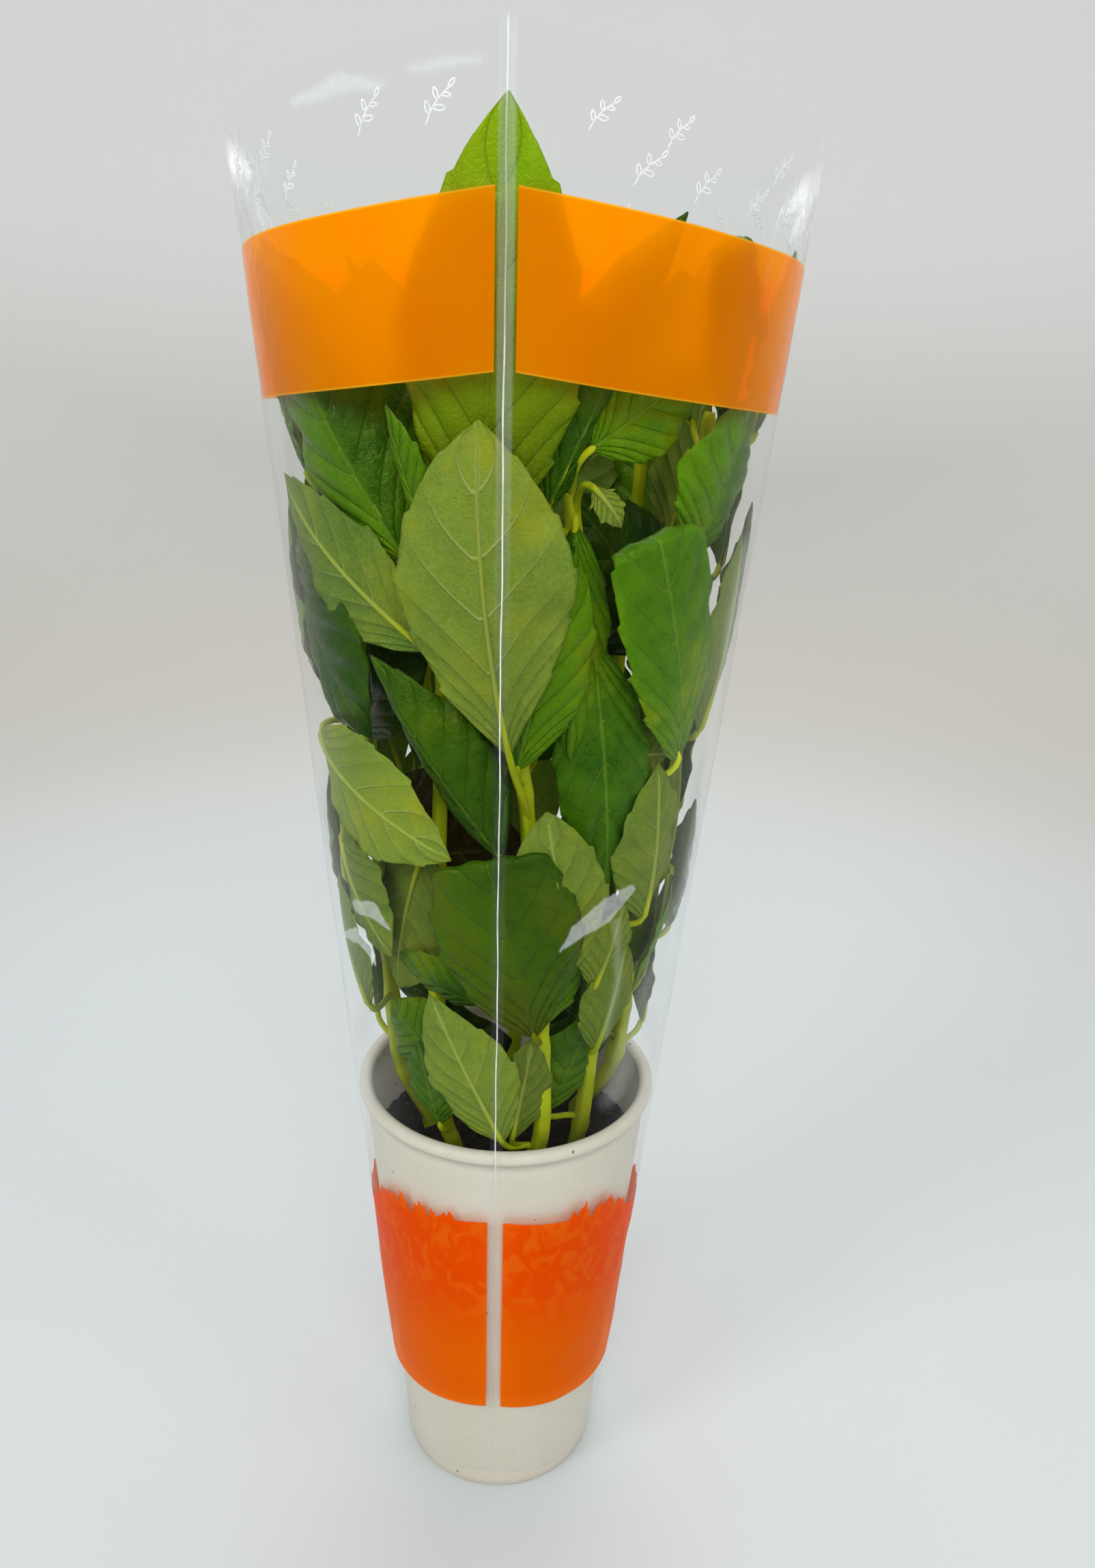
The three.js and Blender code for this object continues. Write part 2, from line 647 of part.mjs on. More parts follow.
const plant = new THREE.Group();
plant.add(mesh("cup", cup(), 0xe4ddd2, 0.75));
plant.add(mesh("root_cube", rootCube(stems), 0x3a2c20, 0.95));
for (const name of Object.keys(stems)) {
  plant.add(mesh("leafy_stem_" + name, leafyStem(name), 0x4c7a22, 0.5));
}
plant.add(mesh("sleeve", sleeve(), 0xe9eef0, 0.15));

export default plant;
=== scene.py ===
"""A young basil plant with many leafy stems. It grows in a white paper cup and stands in a clear conical
sleeve with two orange bands. Lengths are in millimetres until a mesh is made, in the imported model's axes."""
import math

import bpy
import numpy as np
from mathutils import Matrix, Vector


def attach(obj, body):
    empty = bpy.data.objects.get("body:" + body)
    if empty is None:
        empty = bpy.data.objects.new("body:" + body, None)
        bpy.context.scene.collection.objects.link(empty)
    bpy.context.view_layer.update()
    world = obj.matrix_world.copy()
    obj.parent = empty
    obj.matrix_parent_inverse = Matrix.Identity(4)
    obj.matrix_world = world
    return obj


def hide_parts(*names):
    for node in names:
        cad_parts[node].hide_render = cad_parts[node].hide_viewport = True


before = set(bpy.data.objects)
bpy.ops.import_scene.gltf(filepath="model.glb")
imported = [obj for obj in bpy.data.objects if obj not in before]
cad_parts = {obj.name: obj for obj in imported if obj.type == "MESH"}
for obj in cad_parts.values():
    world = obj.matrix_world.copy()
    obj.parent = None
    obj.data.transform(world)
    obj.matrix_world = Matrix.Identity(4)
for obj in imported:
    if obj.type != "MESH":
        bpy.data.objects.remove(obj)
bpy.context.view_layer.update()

MM = 0.001
TAU = 2 * math.pi

# ---------- sizes ----------

# Cup
FOOT_R = 30.5
WALL_SLOPE = 0.0958  # radius gained per mm of height
WALL_TOP = 130.0
WALL = 0.6
FOOT_RING = 1.6
FLOOR_Z = 6.5
FLOOR = 1.0
RIM_R = 2.0
RIM_AT = (43.0, 134.0)
GAP = 0.3

# Growing medium
SOIL_TOP = 112.0
SOIL_CROWN = 2.5
HOLE_DEPTH = 22.0

# Sleeve: slant is the straight row of the flat panel on which a point lies, measured from the cone's apex.
FILM_R = 45.6
FILM_AT = 134.0
FILM_HALF_ANGLE = 0.0958
FILM_SLOPE = math.tan(FILM_HALF_ANGLE)
PANEL_HALF_ANGLE = math.pi / 2 * math.sin(FILM_HALF_ANGLE)
APEX_Z = FILM_AT - FILM_R / FILM_SLOPE
SLEEVE_LOW = 348.5
SLEEVE_HIGH = 732.7
FILM_HALF = 0.06  # half of the film's thickness
FIN_PROUD = 2.2
SEAM_BARE = 2.2  # the print stops this far from a seam
UPPER_BAND = (673.2, 706.5)
LOWER_BAND = (377.6, 451.2)

# Painted reflections: bright places of the room, painted in white on the film as if mirrored in it. Each has a
# strength, softness of the edge, and a path through points (azimuth, height, half-width)
SHINES = [
    (0.36, 0.35, [(-46.3, 205.0, 2.0), (-38.8, 206.3, 2.5), (-33.1, 202.6, 0.4)]),
    (0.42, 0.35, [(-56.6, 193.0, 1.0), (-47.5, 195.7, 2.4), (-42.4, 193.6, 1.9), (-40.1, 189.8, 0.5)]),
    (0.34, 0.45, [(17.1, 201.1, 0.3), (22.0, 206.3, 2.2), (29.8, 211.1, 3.6), (37.5, 215.6, 1.5)]),
    (0.12, 1.2, [(34.0, 207.0, 1.0), (37.0, 190.0, 1.2), (35.0, 172.0, 0.8)]),
    (0.30, 1.0, [(-38.0, 385.6, 0.6), (-27.0, 387.6, 1.6), (-19.8, 386.7, 0.5)]),
    (0.35, 0.8, [(-60.4, 383.1, 0.7), (-63.0, 375.7, 0.9), (-65.0, 368.0, 0.4)]),
    (0.22, 1.0, [(-15.1, 389.1, 0.5), (-9.0, 390.0, 1.0), (-4.5, 390.5, 0.5)]),
    (0.22, 1.5, [(-72.0, 240.0, 1.0), (-74.0, 200.0, 2.2), (-76.0, 150.0, 2.6), (-76.0, 120.0, 1.5)]),
    (0.25, 3.0, [(66.0, 300.0, 0.8), (67.0, 250.0, 3.6), (68.0, 205.0, 3.8), (64.0, 170.0, 2.0)]),
    (0.24, 4.0, [(-62.0, 184.0, 1.0), (-59.0, 165.0, 4.0), (-57.0, 142.0, 4.0)]),
    (0.15, 4.0, [(64.0, 212.0, 1.0), (50.0, 182.0, 4.0), (42.0, 152.0, 4.0)]),
]
WELD_FREE = 478.0  # below this slant, where the weld lies flat on the cup, its painted highlight and gloss are weaker; its shape stays the same
FREE_EDGE = (690.0, 725.0)  # over these slants the film becomes free and crinkles more

# Blades. Along a blade, 0 is its base and 1 its tip, and across it, -1 and 1 are its margins.
LEAST_DEPTH = 1.2  # of a blade inside the film
PRESS = 0.6  # how softly a blade bends where it meets the film
RIB_STEPS = 40
BLADE_ROWS = 45
BLADE_COLUMNS = 27
FOLD_SPAN = 0.12
BLADE_HALF = 0.17  # half of its thickness
TIP_HALF_WIDTH = 0.25
TOOTH = 0.95
TOOTH_PITCH = 6.2
TEETH = (0.2, 0.95)  # where along the blade they are
TOOTH_DROP = 0.008
VEINS = 6.0
VEIN_LEAN = 0.42
VEIN_BEND = 1.15
QUILT = {"top": 0.027, "under": 0.016}  # share of the width
RIB_GROOVE = 0.35
GROOVE_HALF = 1.6
MARGIN_WAVE = 0.030

# Stems and petioles
STEM_LOW = 2.0
STEM_HIGH = 1.5
STEM_RISES = SOIL_TOP + SOIL_CROWN + 1.5
STEM_ROWS = 90
STEM_SIDES = 20
STEM_SQUARENESS = 4.5
NODE_SWELL = 0.16
NODE_SPAN = 2.6
PETIOLE = 0.85
PETIOLE_PULL = 0.35
PETIOLE_ROWS = 12
PETIOLE_SIDES = 10
RIB_ROWS = 26

# Camera, solved from the cup's rim and the sleeve's edges for a frame of 1604 x 2296 pixels
IMAGE_LONG_SIDE = 2296
FOCAL_PIXELS = 1698.7
CAMERA_AT = (16.35, -310.87, 333.80)
CAMERA_DOWN = 0.3268  # this and the next two in radians
CAMERA_TURN = -0.0210
CAMERA_ROLL = 0.0320
SENSOR = 36.0


def smooth_step(t):
    u = np.clip(t, 0.0, 1.0)
    return u * u * (3 - 2 * u)


def film_radius(z):
    return FILM_R + FILM_SLOPE * (z - FILM_AT)


def wall_radius(z):
    return FOOT_R + WALL_SLOPE * z


def drawer(seed):
    """A repeatable run of numbers between 0 and 1."""
    state = [seed]

    def draw():
        state[0] = state[0] * 16807 % 2147483647
        return state[0] / 2147483647

    return draw


def waves(x, y, seed, count, shortest, longest):
    """A smooth random height of about unit size over a flat sheet, as a sum of plane waves."""
    draw = drawer(seed)
    total = np.zeros(np.broadcast(x, y).shape)
    for _ in range(count):
        length = shortest * (longest / shortest) ** draw()
        angle = math.pi * draw()
        phase = TAU * draw()
        total = total + np.sin(TAU / length * (x * math.cos(angle) + y * math.sin(angle)) + phase)
    return total * math.sqrt(2 / count)


# ---------- meshes ----------


class Surface:
    """Collects points in millimetres, with fields of three numbers each, and faces with material slots."""

    def __init__(self, *fields):
        self.points = []
        self.fields = {name: [] for name in fields}
        self.faces = []
        self.count = 0

    def add(self, points, faces, slots=0, **fields):
        """faces is a list of arrays of corner numbers, and slots is theirs in turn or one for all. Turns the
        faces round if the body is inside out."""
        points = np.asarray(points, float).reshape(-1, 3)
        volume = 0.0
        for corners in faces:
            for k in range(1, corners.shape[1] - 1):
                a, b, c = points[corners[:, 0]], points[corners[:, k]], points[corners[:, k + 1]]
                volume += np.einsum("ij,ij->i", a, np.cross(b, c)).sum()
        for corners, slot in zip(faces, np.broadcast_to(slots, len(faces))):
            ordered = corners if volume > 0 else corners[:, ::-1]
            self.faces.append((ordered + self.count, slot))
        for name, rows in self.fields.items():
            value = np.asarray(fields.get(name, (0.0, 0.0, 0.0)), float)
            rows.append(np.broadcast_to(value.reshape(-1, 3), (len(points), 3)))
        self.points.append(points)
        self.count += len(points)

    def finish(self, name, materials):
        corners = np.concatenate([f.ravel() for f, _ in self.faces])
        sizes = np.concatenate([np.full(len(f), f.shape[1]) for f, _ in self.faces])
        slots = np.concatenate([np.full(len(f), slot) for f, slot in self.faces])
        points = np.concatenate(self.points) * MM
        mesh = bpy.data.meshes.new(name)
        mesh.vertices.add(len(points))
        mesh.vertices.foreach_set("co", points.astype(np.float32).ravel())
        mesh.loops.add(len(corners))
        mesh.loops.foreach_set("vertex_index", corners.astype(np.int32))
        mesh.polygons.add(len(sizes))
        mesh.polygons.foreach_set("loop_start", np.concatenate([[0], np.cumsum(sizes)[:-1]]).astype(np.int32))
        mesh.polygons.foreach_set("material_index", slots.astype(np.int32))
        for field, rows in self.fields.items():
            attribute = mesh.attributes.new(field, "FLOAT_VECTOR", "POINT")
            attribute.data.foreach_set("vector", np.concatenate(rows).astype(np.float32).ravel())
        mesh.update(calc_edges=True)
        mesh.validate()
        mesh.shade_smooth()
        for material in materials:
            mesh.materials.append(material)
        piece = bpy.data.objects.new(name, mesh)
        bpy.context.scene.collection.objects.link(piece)
        return piece


def grid_faces(rows, columns, start=0, around=False):
    """Four-sided faces of a grid of points, row by row. With around, the last column meets the first."""
    corner = start + np.arange(rows * columns).reshape(rows, columns)
    if around:
        corner = np.concatenate([corner, corner[:, :1]], 1)
    return np.stack([corner[:-1, :-1], corner[1:, :-1], corner[1:, 1:], corner[:-1, 1:]], -1).reshape(-1, 4)


def edge_loop(rows, columns):
    """The border of a grid as corner numbers, in the direction in which its faces run."""
    corner = np.arange(rows * columns).reshape(rows, columns)
    return np.concatenate([corner[:, 0], corner[-1, 1:], corner[-2::-1, -1], corner[0, -2:0:-1]])


def tube_faces(rows, columns):
    """Faces of a tube of rings, with a flat face at each end."""
    ring = np.arange(columns)[None, :]
    return [grid_faces(rows, columns, around=True), ring, (rows - 1) * columns + ring[:, ::-1]]


def triples(x, y, z):
    return np.stack(np.broadcast_arrays(x, y, z), -1)


def around_axis(radius, azimuth, z):
    """Points at an azimuth from -Y towards +X."""
    return triples(radius * np.sin(azimuth), -radius * np.cos(azimuth), z)


def sweep(centres, section, sizes, normal):
    """A closed tube: rings of section [n, 2], scaled by sizes, along centres. Returns points and faces."""
    centres = np.asarray(centres, float)
    tangents = np.gradient(centres, axis=0)
    tangents /= np.linalg.norm(tangents, axis=1)[:, None]
    normal = np.asarray(normal, float)
    rings = []
    for centre, tangent, size in zip(centres, tangents, sizes):
        normal = normal - tangent * normal.dot(tangent)
        normal /= np.linalg.norm(normal)
        aside = np.cross(tangent, normal)
        rings.append(centre + size * (section[:, :1] * normal + section[:, 1:] * aside))
    return np.concatenate(rings), tube_faces(len(centres), len(section))


def ring_section(sides, squareness=2.0):
    """A round section of unit half-width, or a square one with round corners for a larger squareness."""
    turn = TAU * np.arange(sides) / sides
    c, s = np.cos(turn), np.sin(turn)
    reach = (np.abs(c) ** squareness + np.abs(s) ** squareness) ** (-1 / squareness)
    return np.stack([c * reach, s * reach], 1)


def lathe(surface, profile, segments, change=None, closed=True):
    """Turns a profile of (radius, height) round. It starts on the axis, and ends there too if closed."""
    radius, height = np.array(profile[1:-1] if closed else profile[1:], float).T
    r, turn = np.meshgrid(radius, TAU * np.arange(segments) / segments, indexing="ij")
    z = np.repeat(height[:, None], segments, 1)
    points = around_axis(r, turn, z)
    if change is not None:
        points = change(points, r, turn, z)
    low = len(radius) * segments
    last = low - segments
    j = np.arange(segments)
    k = (j + 1) % segments
    ends = [[0, 0, profile[0][1]]]
    faces = [grid_faces(len(radius), segments, around=True), np.stack([j, np.full(segments, low), k], 1)]
    if closed:
        ends.append([0, 0, profile[-1][1]])
        faces.append(np.stack([last + k, np.full(segments, low + 1), last + j], 1))
    surface.add(np.concatenate([points.reshape(-1, 3), ends]), faces)


# ---------- materials ----------


def linear(red, green, blue):
    """A colour given as 0 to 255 on a screen, as Blender's linear colour."""
    parts = [c / 255 for c in (red, green, blue)]
    return tuple(c / 12.92 if c <= 0.04045 else ((c + 0.055) / 1.055) ** 2.4 for c in parts) + (1.0,)


class Nodes:
    """One material and short names for its nodes. A value is a number, a colour or another node's output."""

    def __init__(self, name):
        self.material = bpy.data.materials.new(name)
        self.material.use_nodes = True
        self.tree = self.material.node_tree
        self.tree.nodes.clear()

    def put(self, socket, value):
        if isinstance(value, bpy.types.NodeSocket):
            self.tree.links.new(value, socket)
        elif value is not None:
            socket.default_value = value

    def add(self, kind, values=(), out=0, **settings):
        node = self.tree.nodes.new("ShaderNode" + kind)
        for name, value in settings.items():
            setattr(node, name, value)
        for name, value in dict(values).items():
            self.put(node.inputs[name], value)
        return node.outputs[out]

    def math(self, operation, a, b=None, clamp=False):
        return self.add("Math", {0: a, 1: b}, operation=operation, use_clamp=clamp)

    def plus(self, a, b):
        return self.math("ADD", a, b)

    def minus(self, a, b):
        return self.math("SUBTRACT", a, b)

    def times(self, product, *factors):
        for factor in factors:
            product = self.math("MULTIPLY", product, factor)
        return product

    def most(self, a, b):
        return self.math("MAXIMUM", a, b)

    def absolute(self, a):
        return self.math("ABSOLUTE", a)

    def vector(self, operation, a, b=None, out=0):
        return self.add("VectorMath", {0: a, 1: b}, out=out, operation=operation)

    def step(self, value, low, high, start=0.0, end=1.0):
        """Goes smoothly from start to end as value goes from low to high."""
        values = {"Value": value, "From Min": low, "From Max": high, "To Min": start, "To Max": end}
        return self.add("MapRange", values, interpolation_type="SMOOTHSTEP")

    def between(self, value, low, high, soft):
        return self.times(self.step(value, low, low + soft), self.step(value, high, high - soft))

    def blend(self, factor, a, b):
        return self.add("Mix", {0: factor, 6: a, 7: b}, out=2, data_type="RGBA")

    def field(self, name):
        """The three numbers of a mesh field, and the field as a vector."""
        vector = self.add("Attribute", out=1, attribute_name=name)
        return (*self.add("SeparateXYZ", {0: vector}, out=slice(3)), vector)

    def noise(self, vector, scale, detail=2.0, roughness=0.5, distortion=0.0, out=0):
        values = {"Vector": vector, "Scale": scale, "Detail": detail}
        return self.add("TexNoise", values | {"Roughness": roughness, "Distortion": distortion}, out=out)

    def place(self, scale=(1, 1, 1)):
        """The point of the surface in metres times scale."""
        return self.vector("MULTIPLY", self.add("TexCoord", out=3), scale)

    def bump(self, height, distance, strength=1.0):
        return self.add("Bump", {"Height": height, "Distance": distance, "Strength": strength})

    def principled(self, **values):
        return self.add("BsdfPrincipled", {name.replace("_", " "): value for name, value in values.items()})

    def bsdf(self, kind, colour, **values):
        return self.add("Bsdf" + kind, {"Color": colour, **values})

    def mix_shader(self, factor, a, b):
        return self.add("MixShader", {0: factor, 1: a, 2: b})

    def finish(self, shader):
        output = self.tree.nodes.new("ShaderNodeOutputMaterial")
        self.tree.links.new(shader, output.inputs["Surface"])
        return self.material


def blade_material(under):
    """One side of a leaf. field leaf is (along, across from -1 to 1, vein count), and field blade is
    (distance from the rib in mm, tone from dark to yellow, light as painted light and shade)."""
    n = Nodes("basil_underside" if under else "basil_upper_side")
    along, side, veins, _ = n.field("leaf")
    apart, tone, light, _ = n.field("blade")
    place = n.place()
    broad = n.noise(place, 55, 3, 0.55)
    mottle = n.noise(place, 190, 4, 0.6)
    spots = n.noise(place, 1100, 3, 0.6)

    # Side veins run where the vein count is whole, and fade towards the margin.
    gap = n.absolute(n.minus(n.math("FRACT", n.plus(veins, 0.5)), 0.5))
    width = n.step(n.absolute(side), 0.0, 1.0, 0.06, 0.015)
    side_vein = n.times(n.step(gap, 0.0, width, 1.0, 0.0), n.step(n.absolute(side), 0.95, 0.6))
    rib = n.times(n.step(n.absolute(apart), 0.2, 0.7, 1.0, 0.0), n.step(along, 1.0, 0.75))
    cells = n.add("TexVoronoi", {"Vector": place, "Scale": 640.0}, feature="DISTANCE_TO_EDGE")
    net = n.step(cells, 0.0, 0.14, 1.0, 0.0)
    vein = n.most(n.times(side_vein, 0.85), rib)
    hollow = n.math("POWER", n.minus(1.0, n.times(gap, 2.0)), 3.0)

    if under:
        dark, bright, yellow = linear(92, 124, 40), linear(146, 162, 50), linear(150, 152, 14)
        line, line_share, net_share = linear(174, 186, 104), 0.85, 0.15
    else:
        dark, bright, yellow = linear(26, 76, 2), linear(98, 148, 2), linear(124, 134, 0)
        line, line_share, net_share = linear(120, 156, 44), 0.3, 0.06
    changes = n.plus(n.times(mottle, 0.55), n.times(broad, 0.85))
    plain = n.blend(n.math("ADD", tone, n.minus(changes, 0.7), clamp=True), dark, bright)
    warm = n.times(n.step(broad, 0.5, 0.72), n.step(tone, -0.1, 0.6, 0.15, 0.6))
    warm = n.most(warm, n.step(n.plus(tone, n.times(broad, 0.5)), 1.1, 1.9))
    plain = n.blend(warm, plain, yellow)
    brown = n.step(n.plus(tone, n.times(broad, 0.8)), 0.35, -0.35)
    plain = n.blend(brown, plain, linear(74, 26, 6))
    netted = n.blend(n.times(net, net_share), plain, line)
    veined = n.blend(n.times(vein, line_share), netted, line)
    shaded = n.blend(n.times(n.step(spots, 0.35, 0.75), 0.08), veined, line)
    # Painted light and shade: light brightens or darkens the whole colour, leaf by leaf and from base to tip.
    colour = n.add("HueSaturation", {"Color": shaded, "Value": light})

    # Veins stand out of the underside and lie sunk in the upper side.
    away = 1.0 if under else -1.0
    relief = n.plus(n.times(vein, away), n.times(net, 0.25 * away))
    grain = n.plus(relief, n.times(spots, 0.25))
    quilted = n.plus(grain, n.times(hollow, 1.2 * away))
    normal = n.bump(n.plus(quilted, n.times(mottle, 2.0)), 0.00035, 0.8)
    rough = n.step(mottle, 0.3, 0.7, 0.5 if under else 0.22, 0.6 if under else 0.36)
    look = dict(Base_Color=colour, Roughness=rough, Normal=normal, Specular_Tint=(0.8, 1.0, 0.25, 1))
    skin = n.principled(Specular_IOR_Level=0.15 if under else 0.32, **look)
    lit = n.blend(0.4, colour, linear(150, 180, 4))
    through = n.bsdf("Translucent", lit, Normal=normal)
    return n.finish(n.mix_shader(0.3, skin, through))


def stem_material():
    n = Nodes("basil_stem")
    place = n.place()
    streaks = n.noise(n.place((1, 1, 0.12)), 900, 3, 0.6)
    patches = n.noise(place, 60, 3)
    plain = n.blend(n.step(patches, 0.35, 0.65), linear(138, 156, 2), linear(184, 192, 10))
    colour = n.blend(n.times(n.step(streaks, 0.4, 0.7), 0.4), plain, linear(172, 180, 60))
    paler, _, light, _ = n.field("blade")
    colour = n.blend(n.times(paler, 0.8), colour, linear(138, 152, 70))
    # Painted light and shade: each petiole is scaled by its leaf's light; the stems keep 1.
    colour = n.add("HueSaturation", {"Color": colour, "Value": light})
    normal = n.bump(streaks, 0.00015, 0.8)
    rough = n.step(patches, 0.3, 0.7, 0.35, 0.5)
    look = dict(Base_Color=colour, Roughness=rough, Normal=normal, Specular_Tint=(0.9, 1.0, 0.3, 1))
    skin = n.principled(Specular_IOR_Level=0.2, **look)
    through = n.bsdf("Translucent", linear(160, 180, 20))
    return n.finish(n.mix_shader(0.15, skin, through))


def paper_material():
    """Coated white paper with faint fibres and a few small specks."""
    n = Nodes("cup_paper")
    place = n.place()
    fibres = n.noise(n.place((1, 1, 0.35)), 1500, 4, 0.65)
    cloud = n.noise(place, 35, 3)
    plain = n.blend(n.step(cloud, 0.3, 0.7), linear(213, 205, 189), linear(218, 211, 197))
    colour = n.blend(n.times(n.step(fibres, 0.45, 0.8), 0.25), plain, linear(186, 177, 160))
    specks = n.add("TexVoronoi", {"Vector": place, "Scale": 95.0})
    marked = n.blend(n.step(specks, 0.055, 0.035), colour, linear(150, 132, 104))
    normal = n.bump(fibres, 0.00008, 0.5)
    rough = n.step(fibres, 0.3, 0.8, 0.42, 0.6)
    return n.finish(n.principled(Base_Color=marked, Roughness=rough, Normal=normal, Specular_IOR_Level=0.4))


def soil_material():
    n = Nodes("growing_medium")
    place = n.place()
    clumps = n.noise(place, 420, 6, 0.7)
    crumbs = n.add("TexVoronoi", {"Vector": place, "Scale": 700.0}, out=1)
    tint = n.add("RGBToBW", {0: crumbs})
    # The medium's own dark brown, made darker still as painted shade from the foliage above it.
    plain = n.blend(n.step(clumps, 0.35, 0.7), linear(9, 7, 4), linear(36, 27, 16))
    colour = n.blend(n.step(tint, 0.78, 0.95), plain, linear(66, 50, 30))
    height = n.plus(clumps, n.times(tint, 0.5))
    normal = n.bump(height, 0.0012, 1.0)
    rough = n.step(clumps, 0.3, 0.8, 0.75, 0.95)
    return n.finish(n.principled(Base_Color=colour, Roughness=rough, Normal=normal, Specular_IOR_Level=0.15))


def tapered_distance(n, place, ends):
    """Distance in mm from a straight stretch between two points (across, slant, half-width), which tapers."""
    (ax, ay, wide), (bx, by, other) = ends
    step = (bx - ax, by - ay)
    square = step[0] ** 2 + step[1] ** 2
    from_start = n.vector("SUBTRACT", place, (ax, ay, 0))
    unit = (step[0] / square, step[1] / square, 0)
    share = n.math("ADD", n.vector("DOT_PRODUCT", from_start, unit, out=1), 0.0, clamp=True)
    along = n.add("VectorMath", {0: (*step, 0), "Scale": share}, operation="SCALE")
    aside = n.vector("SUBTRACT", from_start, along)
    reach = n.plus(n.times(share, other - wide), wide)
    return n.minus(n.vector("LENGTH", aside, out=1), reach)


def shine_mask(n, sheet, across_noise):
    """Where white is painted on the film as reflections of the bright room, from SHINES."""
    place = n.vector("MULTIPLY", n.vector("ADD", sheet, across_noise), (1, 1, 0))
    total = 0.0
    for strength, soft, path in SHINES:
        points = []
        for azimuth, z, wide in path:
            turn = math.radians(azimuth)
            slant = (z - APEX_Z) / math.cos(FILM_HALF_ANGLE) * math.cos(panel_angle(turn))
            points.append((*sheet_place(turn, slant).tolist()[:2], wide))
        near = None
        for ends in zip(points, points[1:]):
            distance = tapered_distance(n, place, ends)
            near = distance if near is None else n.math("MINIMUM", near, distance)
        total = n.most(total, n.step(near, soft, -soft, 0.0, strength))
    return total


def printed_ink(n, ink, behind, tint, normal, through, clear):
    """Ink on film. through is how much of it glows with the colour behind when light comes from the back, and
    clear how much of it lets the view through, with a tint."""
    body = n.mix_shader(through, n.bsdf("Diffuse", ink, Normal=normal), n.bsdf("Translucent", behind))
    return n.mix_shader(clear, body, n.bsdf("Transparent", tint))


def film_material():
    """Clear film with its print. field sheet is (across the flat panel, slant, distance from the nearer
    seam), and field face is (1 on the outward face, 0, 0)."""
    n = Nodes("sleeve_film")
    across, slant, seam, sheet = n.field("sheet")
    outward = n.field("face")[0]
    crinkle = n.noise(sheet, 0.055, 4, 0.55, 1.2)
    fine = n.noise(sheet, 0.35, 3, 0.6, 0.6)
    folds = n.absolute(n.minus(crinkle, 0.5))
    free = n.step(slant, *FREE_EDGE, 0.25, 1.0)
    height = n.plus(n.times(folds, 2.0), n.times(fine, 0.10))
    normal = n.bump(n.times(height, free), 0.0016, 0.5)

    facing = n.add("LayerWeight", {"Blend": 0.5, "Normal": normal}, out=1)
    ends = n.times(n.step(slant, 455.0, 500.0, 0.3, 1.0), n.step(slant, SLEEVE_HIGH, SLEEVE_HIGH - 9.0))
    grazing = n.plus(n.times(n.math("POWER", facing, 5.0), 0.7), 0.001)
    shine = n.math("MINIMUM", n.times(grazing, ends), 0.85)
    gloss = n.bsdf("Glossy", (1, 1, 1, 1), Roughness=0.08, Normal=normal)
    clear = n.bsdf("Transparent", (0.99, 0.995, 0.995, 1))
    white = n.bsdf("Diffuse", (0.86, 0.91, 0.93, 1), Normal=normal)
    # A faint milky strip along each seam where the film lies double, brighter towards the top as painted
    # sheen.
    strip = n.times(n.step(seam, 2.0, 1.2), n.step(slant, 600.0, 690.0, 0.01, 0.07))
    # Painted reflections: white patches along SHINES on the outward face stand in for the bright room mirrored
    # in the film, over the print too.
    drift = n.vector("SUBTRACT", n.noise(sheet, 0.22, out=1), (0.5, 0.5, 0.5))
    painted_reflection_places = shine_mask(n, sheet, n.vector("MULTIPLY", drift, (1.6, 1.6, 0)))
    painted_reflection = n.times(outward, painted_reflection_places, n.step(fine, 0.2, 0.8, 0.8, 1.1))
    haze_and_painted_shine = n.most(strip, painted_reflection)
    bare = n.mix_shader(haze_and_painted_shine, clear, white)

    printed = n.times(outward, n.step(seam, SEAM_BARE - 0.1, SEAM_BARE + 0.1))
    upper = n.times(printed, n.between(slant, *UPPER_BAND, 0.25))
    shade = n.noise(sheet, 0.02, 2)
    orange = n.blend(n.step(shade, 0.3, 0.7), linear(255, 164, 0), linear(255, 154, 0))
    inside = n.between(slant, UPPER_BAND[0] + 0.35, UPPER_BAND[1] - 0.35, 0.3)
    orange = n.blend(inside, linear(255, 196, 40), orange)
    # Painted glow: a faint orange emission brightens the upper band as if more light fell on it.
    painted_glow = n.add("Emission", {"Color": (1.0, 0.07, 0.0, 1), "Strength": 0.16})
    upper_body = printed_ink(n, orange, orange, (1.0, 0.27, 0.0, 1), normal, through=0.5, clear=0.22)
    upper_body = n.add("AddShader", {0: upper_body, 1: painted_glow})

    # The lower band's top edge is straight beside the seams and turns into a ragged line of foliage.
    start = n.step(across, 199.0, 201.0, 21.0, 11.0)
    leafy = n.step(seam, start, n.plus(start, 2.5))

    def foliage(frequency, detail, middle, size):
        values = {"W": n.times(across, frequency), "Scale": 1.0, "Detail": detail}
        return n.times(n.minus(n.add("TexNoise", values, noise_dimensions="1D"), middle), size)

    jag = n.plus(foliage(0.30, 0.0, 0.36, 11.0), foliage(0.8, 3.0, 0.5, 5.0))
    jag = n.times(jag, n.step(seam, 40.0, 56.0, 1.0, 0.4), leafy)
    edge = n.minus(jag, n.step(seam, 36.0, 56.0, 0.0, 12.0))
    low, high = LOWER_BAND
    below = n.step(n.minus(slant, edge), high, high - 0.4)
    lower = n.times(printed, below, n.step(slant, low, low + 0.4))
    swirl = n.step(n.noise(sheet, 0.14, 2, 0.5, 1.0), 0.46, 0.64)
    swirl = n.times(swirl, n.step(slant, 404.0, 424.0, 0.0, 0.6))
    reddish = n.blend(n.step(slant, 398.0, 430.0), linear(255, 114, 0), linear(255, 86, 0))
    deep = n.blend(swirl, reddish, linear(255, 120, 20))
    behind = linear(255, 110, 4)
    lower_body = printed_ink(n, deep, behind, (1.0, 0.26, 0.04, 1), normal, through=0.15, clear=0.25)

    body = n.mix_shader(upper, bare, n.mix_shader(painted_reflection, upper_body, white))
    body = n.mix_shader(lower, body, n.mix_shader(painted_reflection, lower_body, white))
    return n.finish(n.mix_shader(shine, body, gloss))


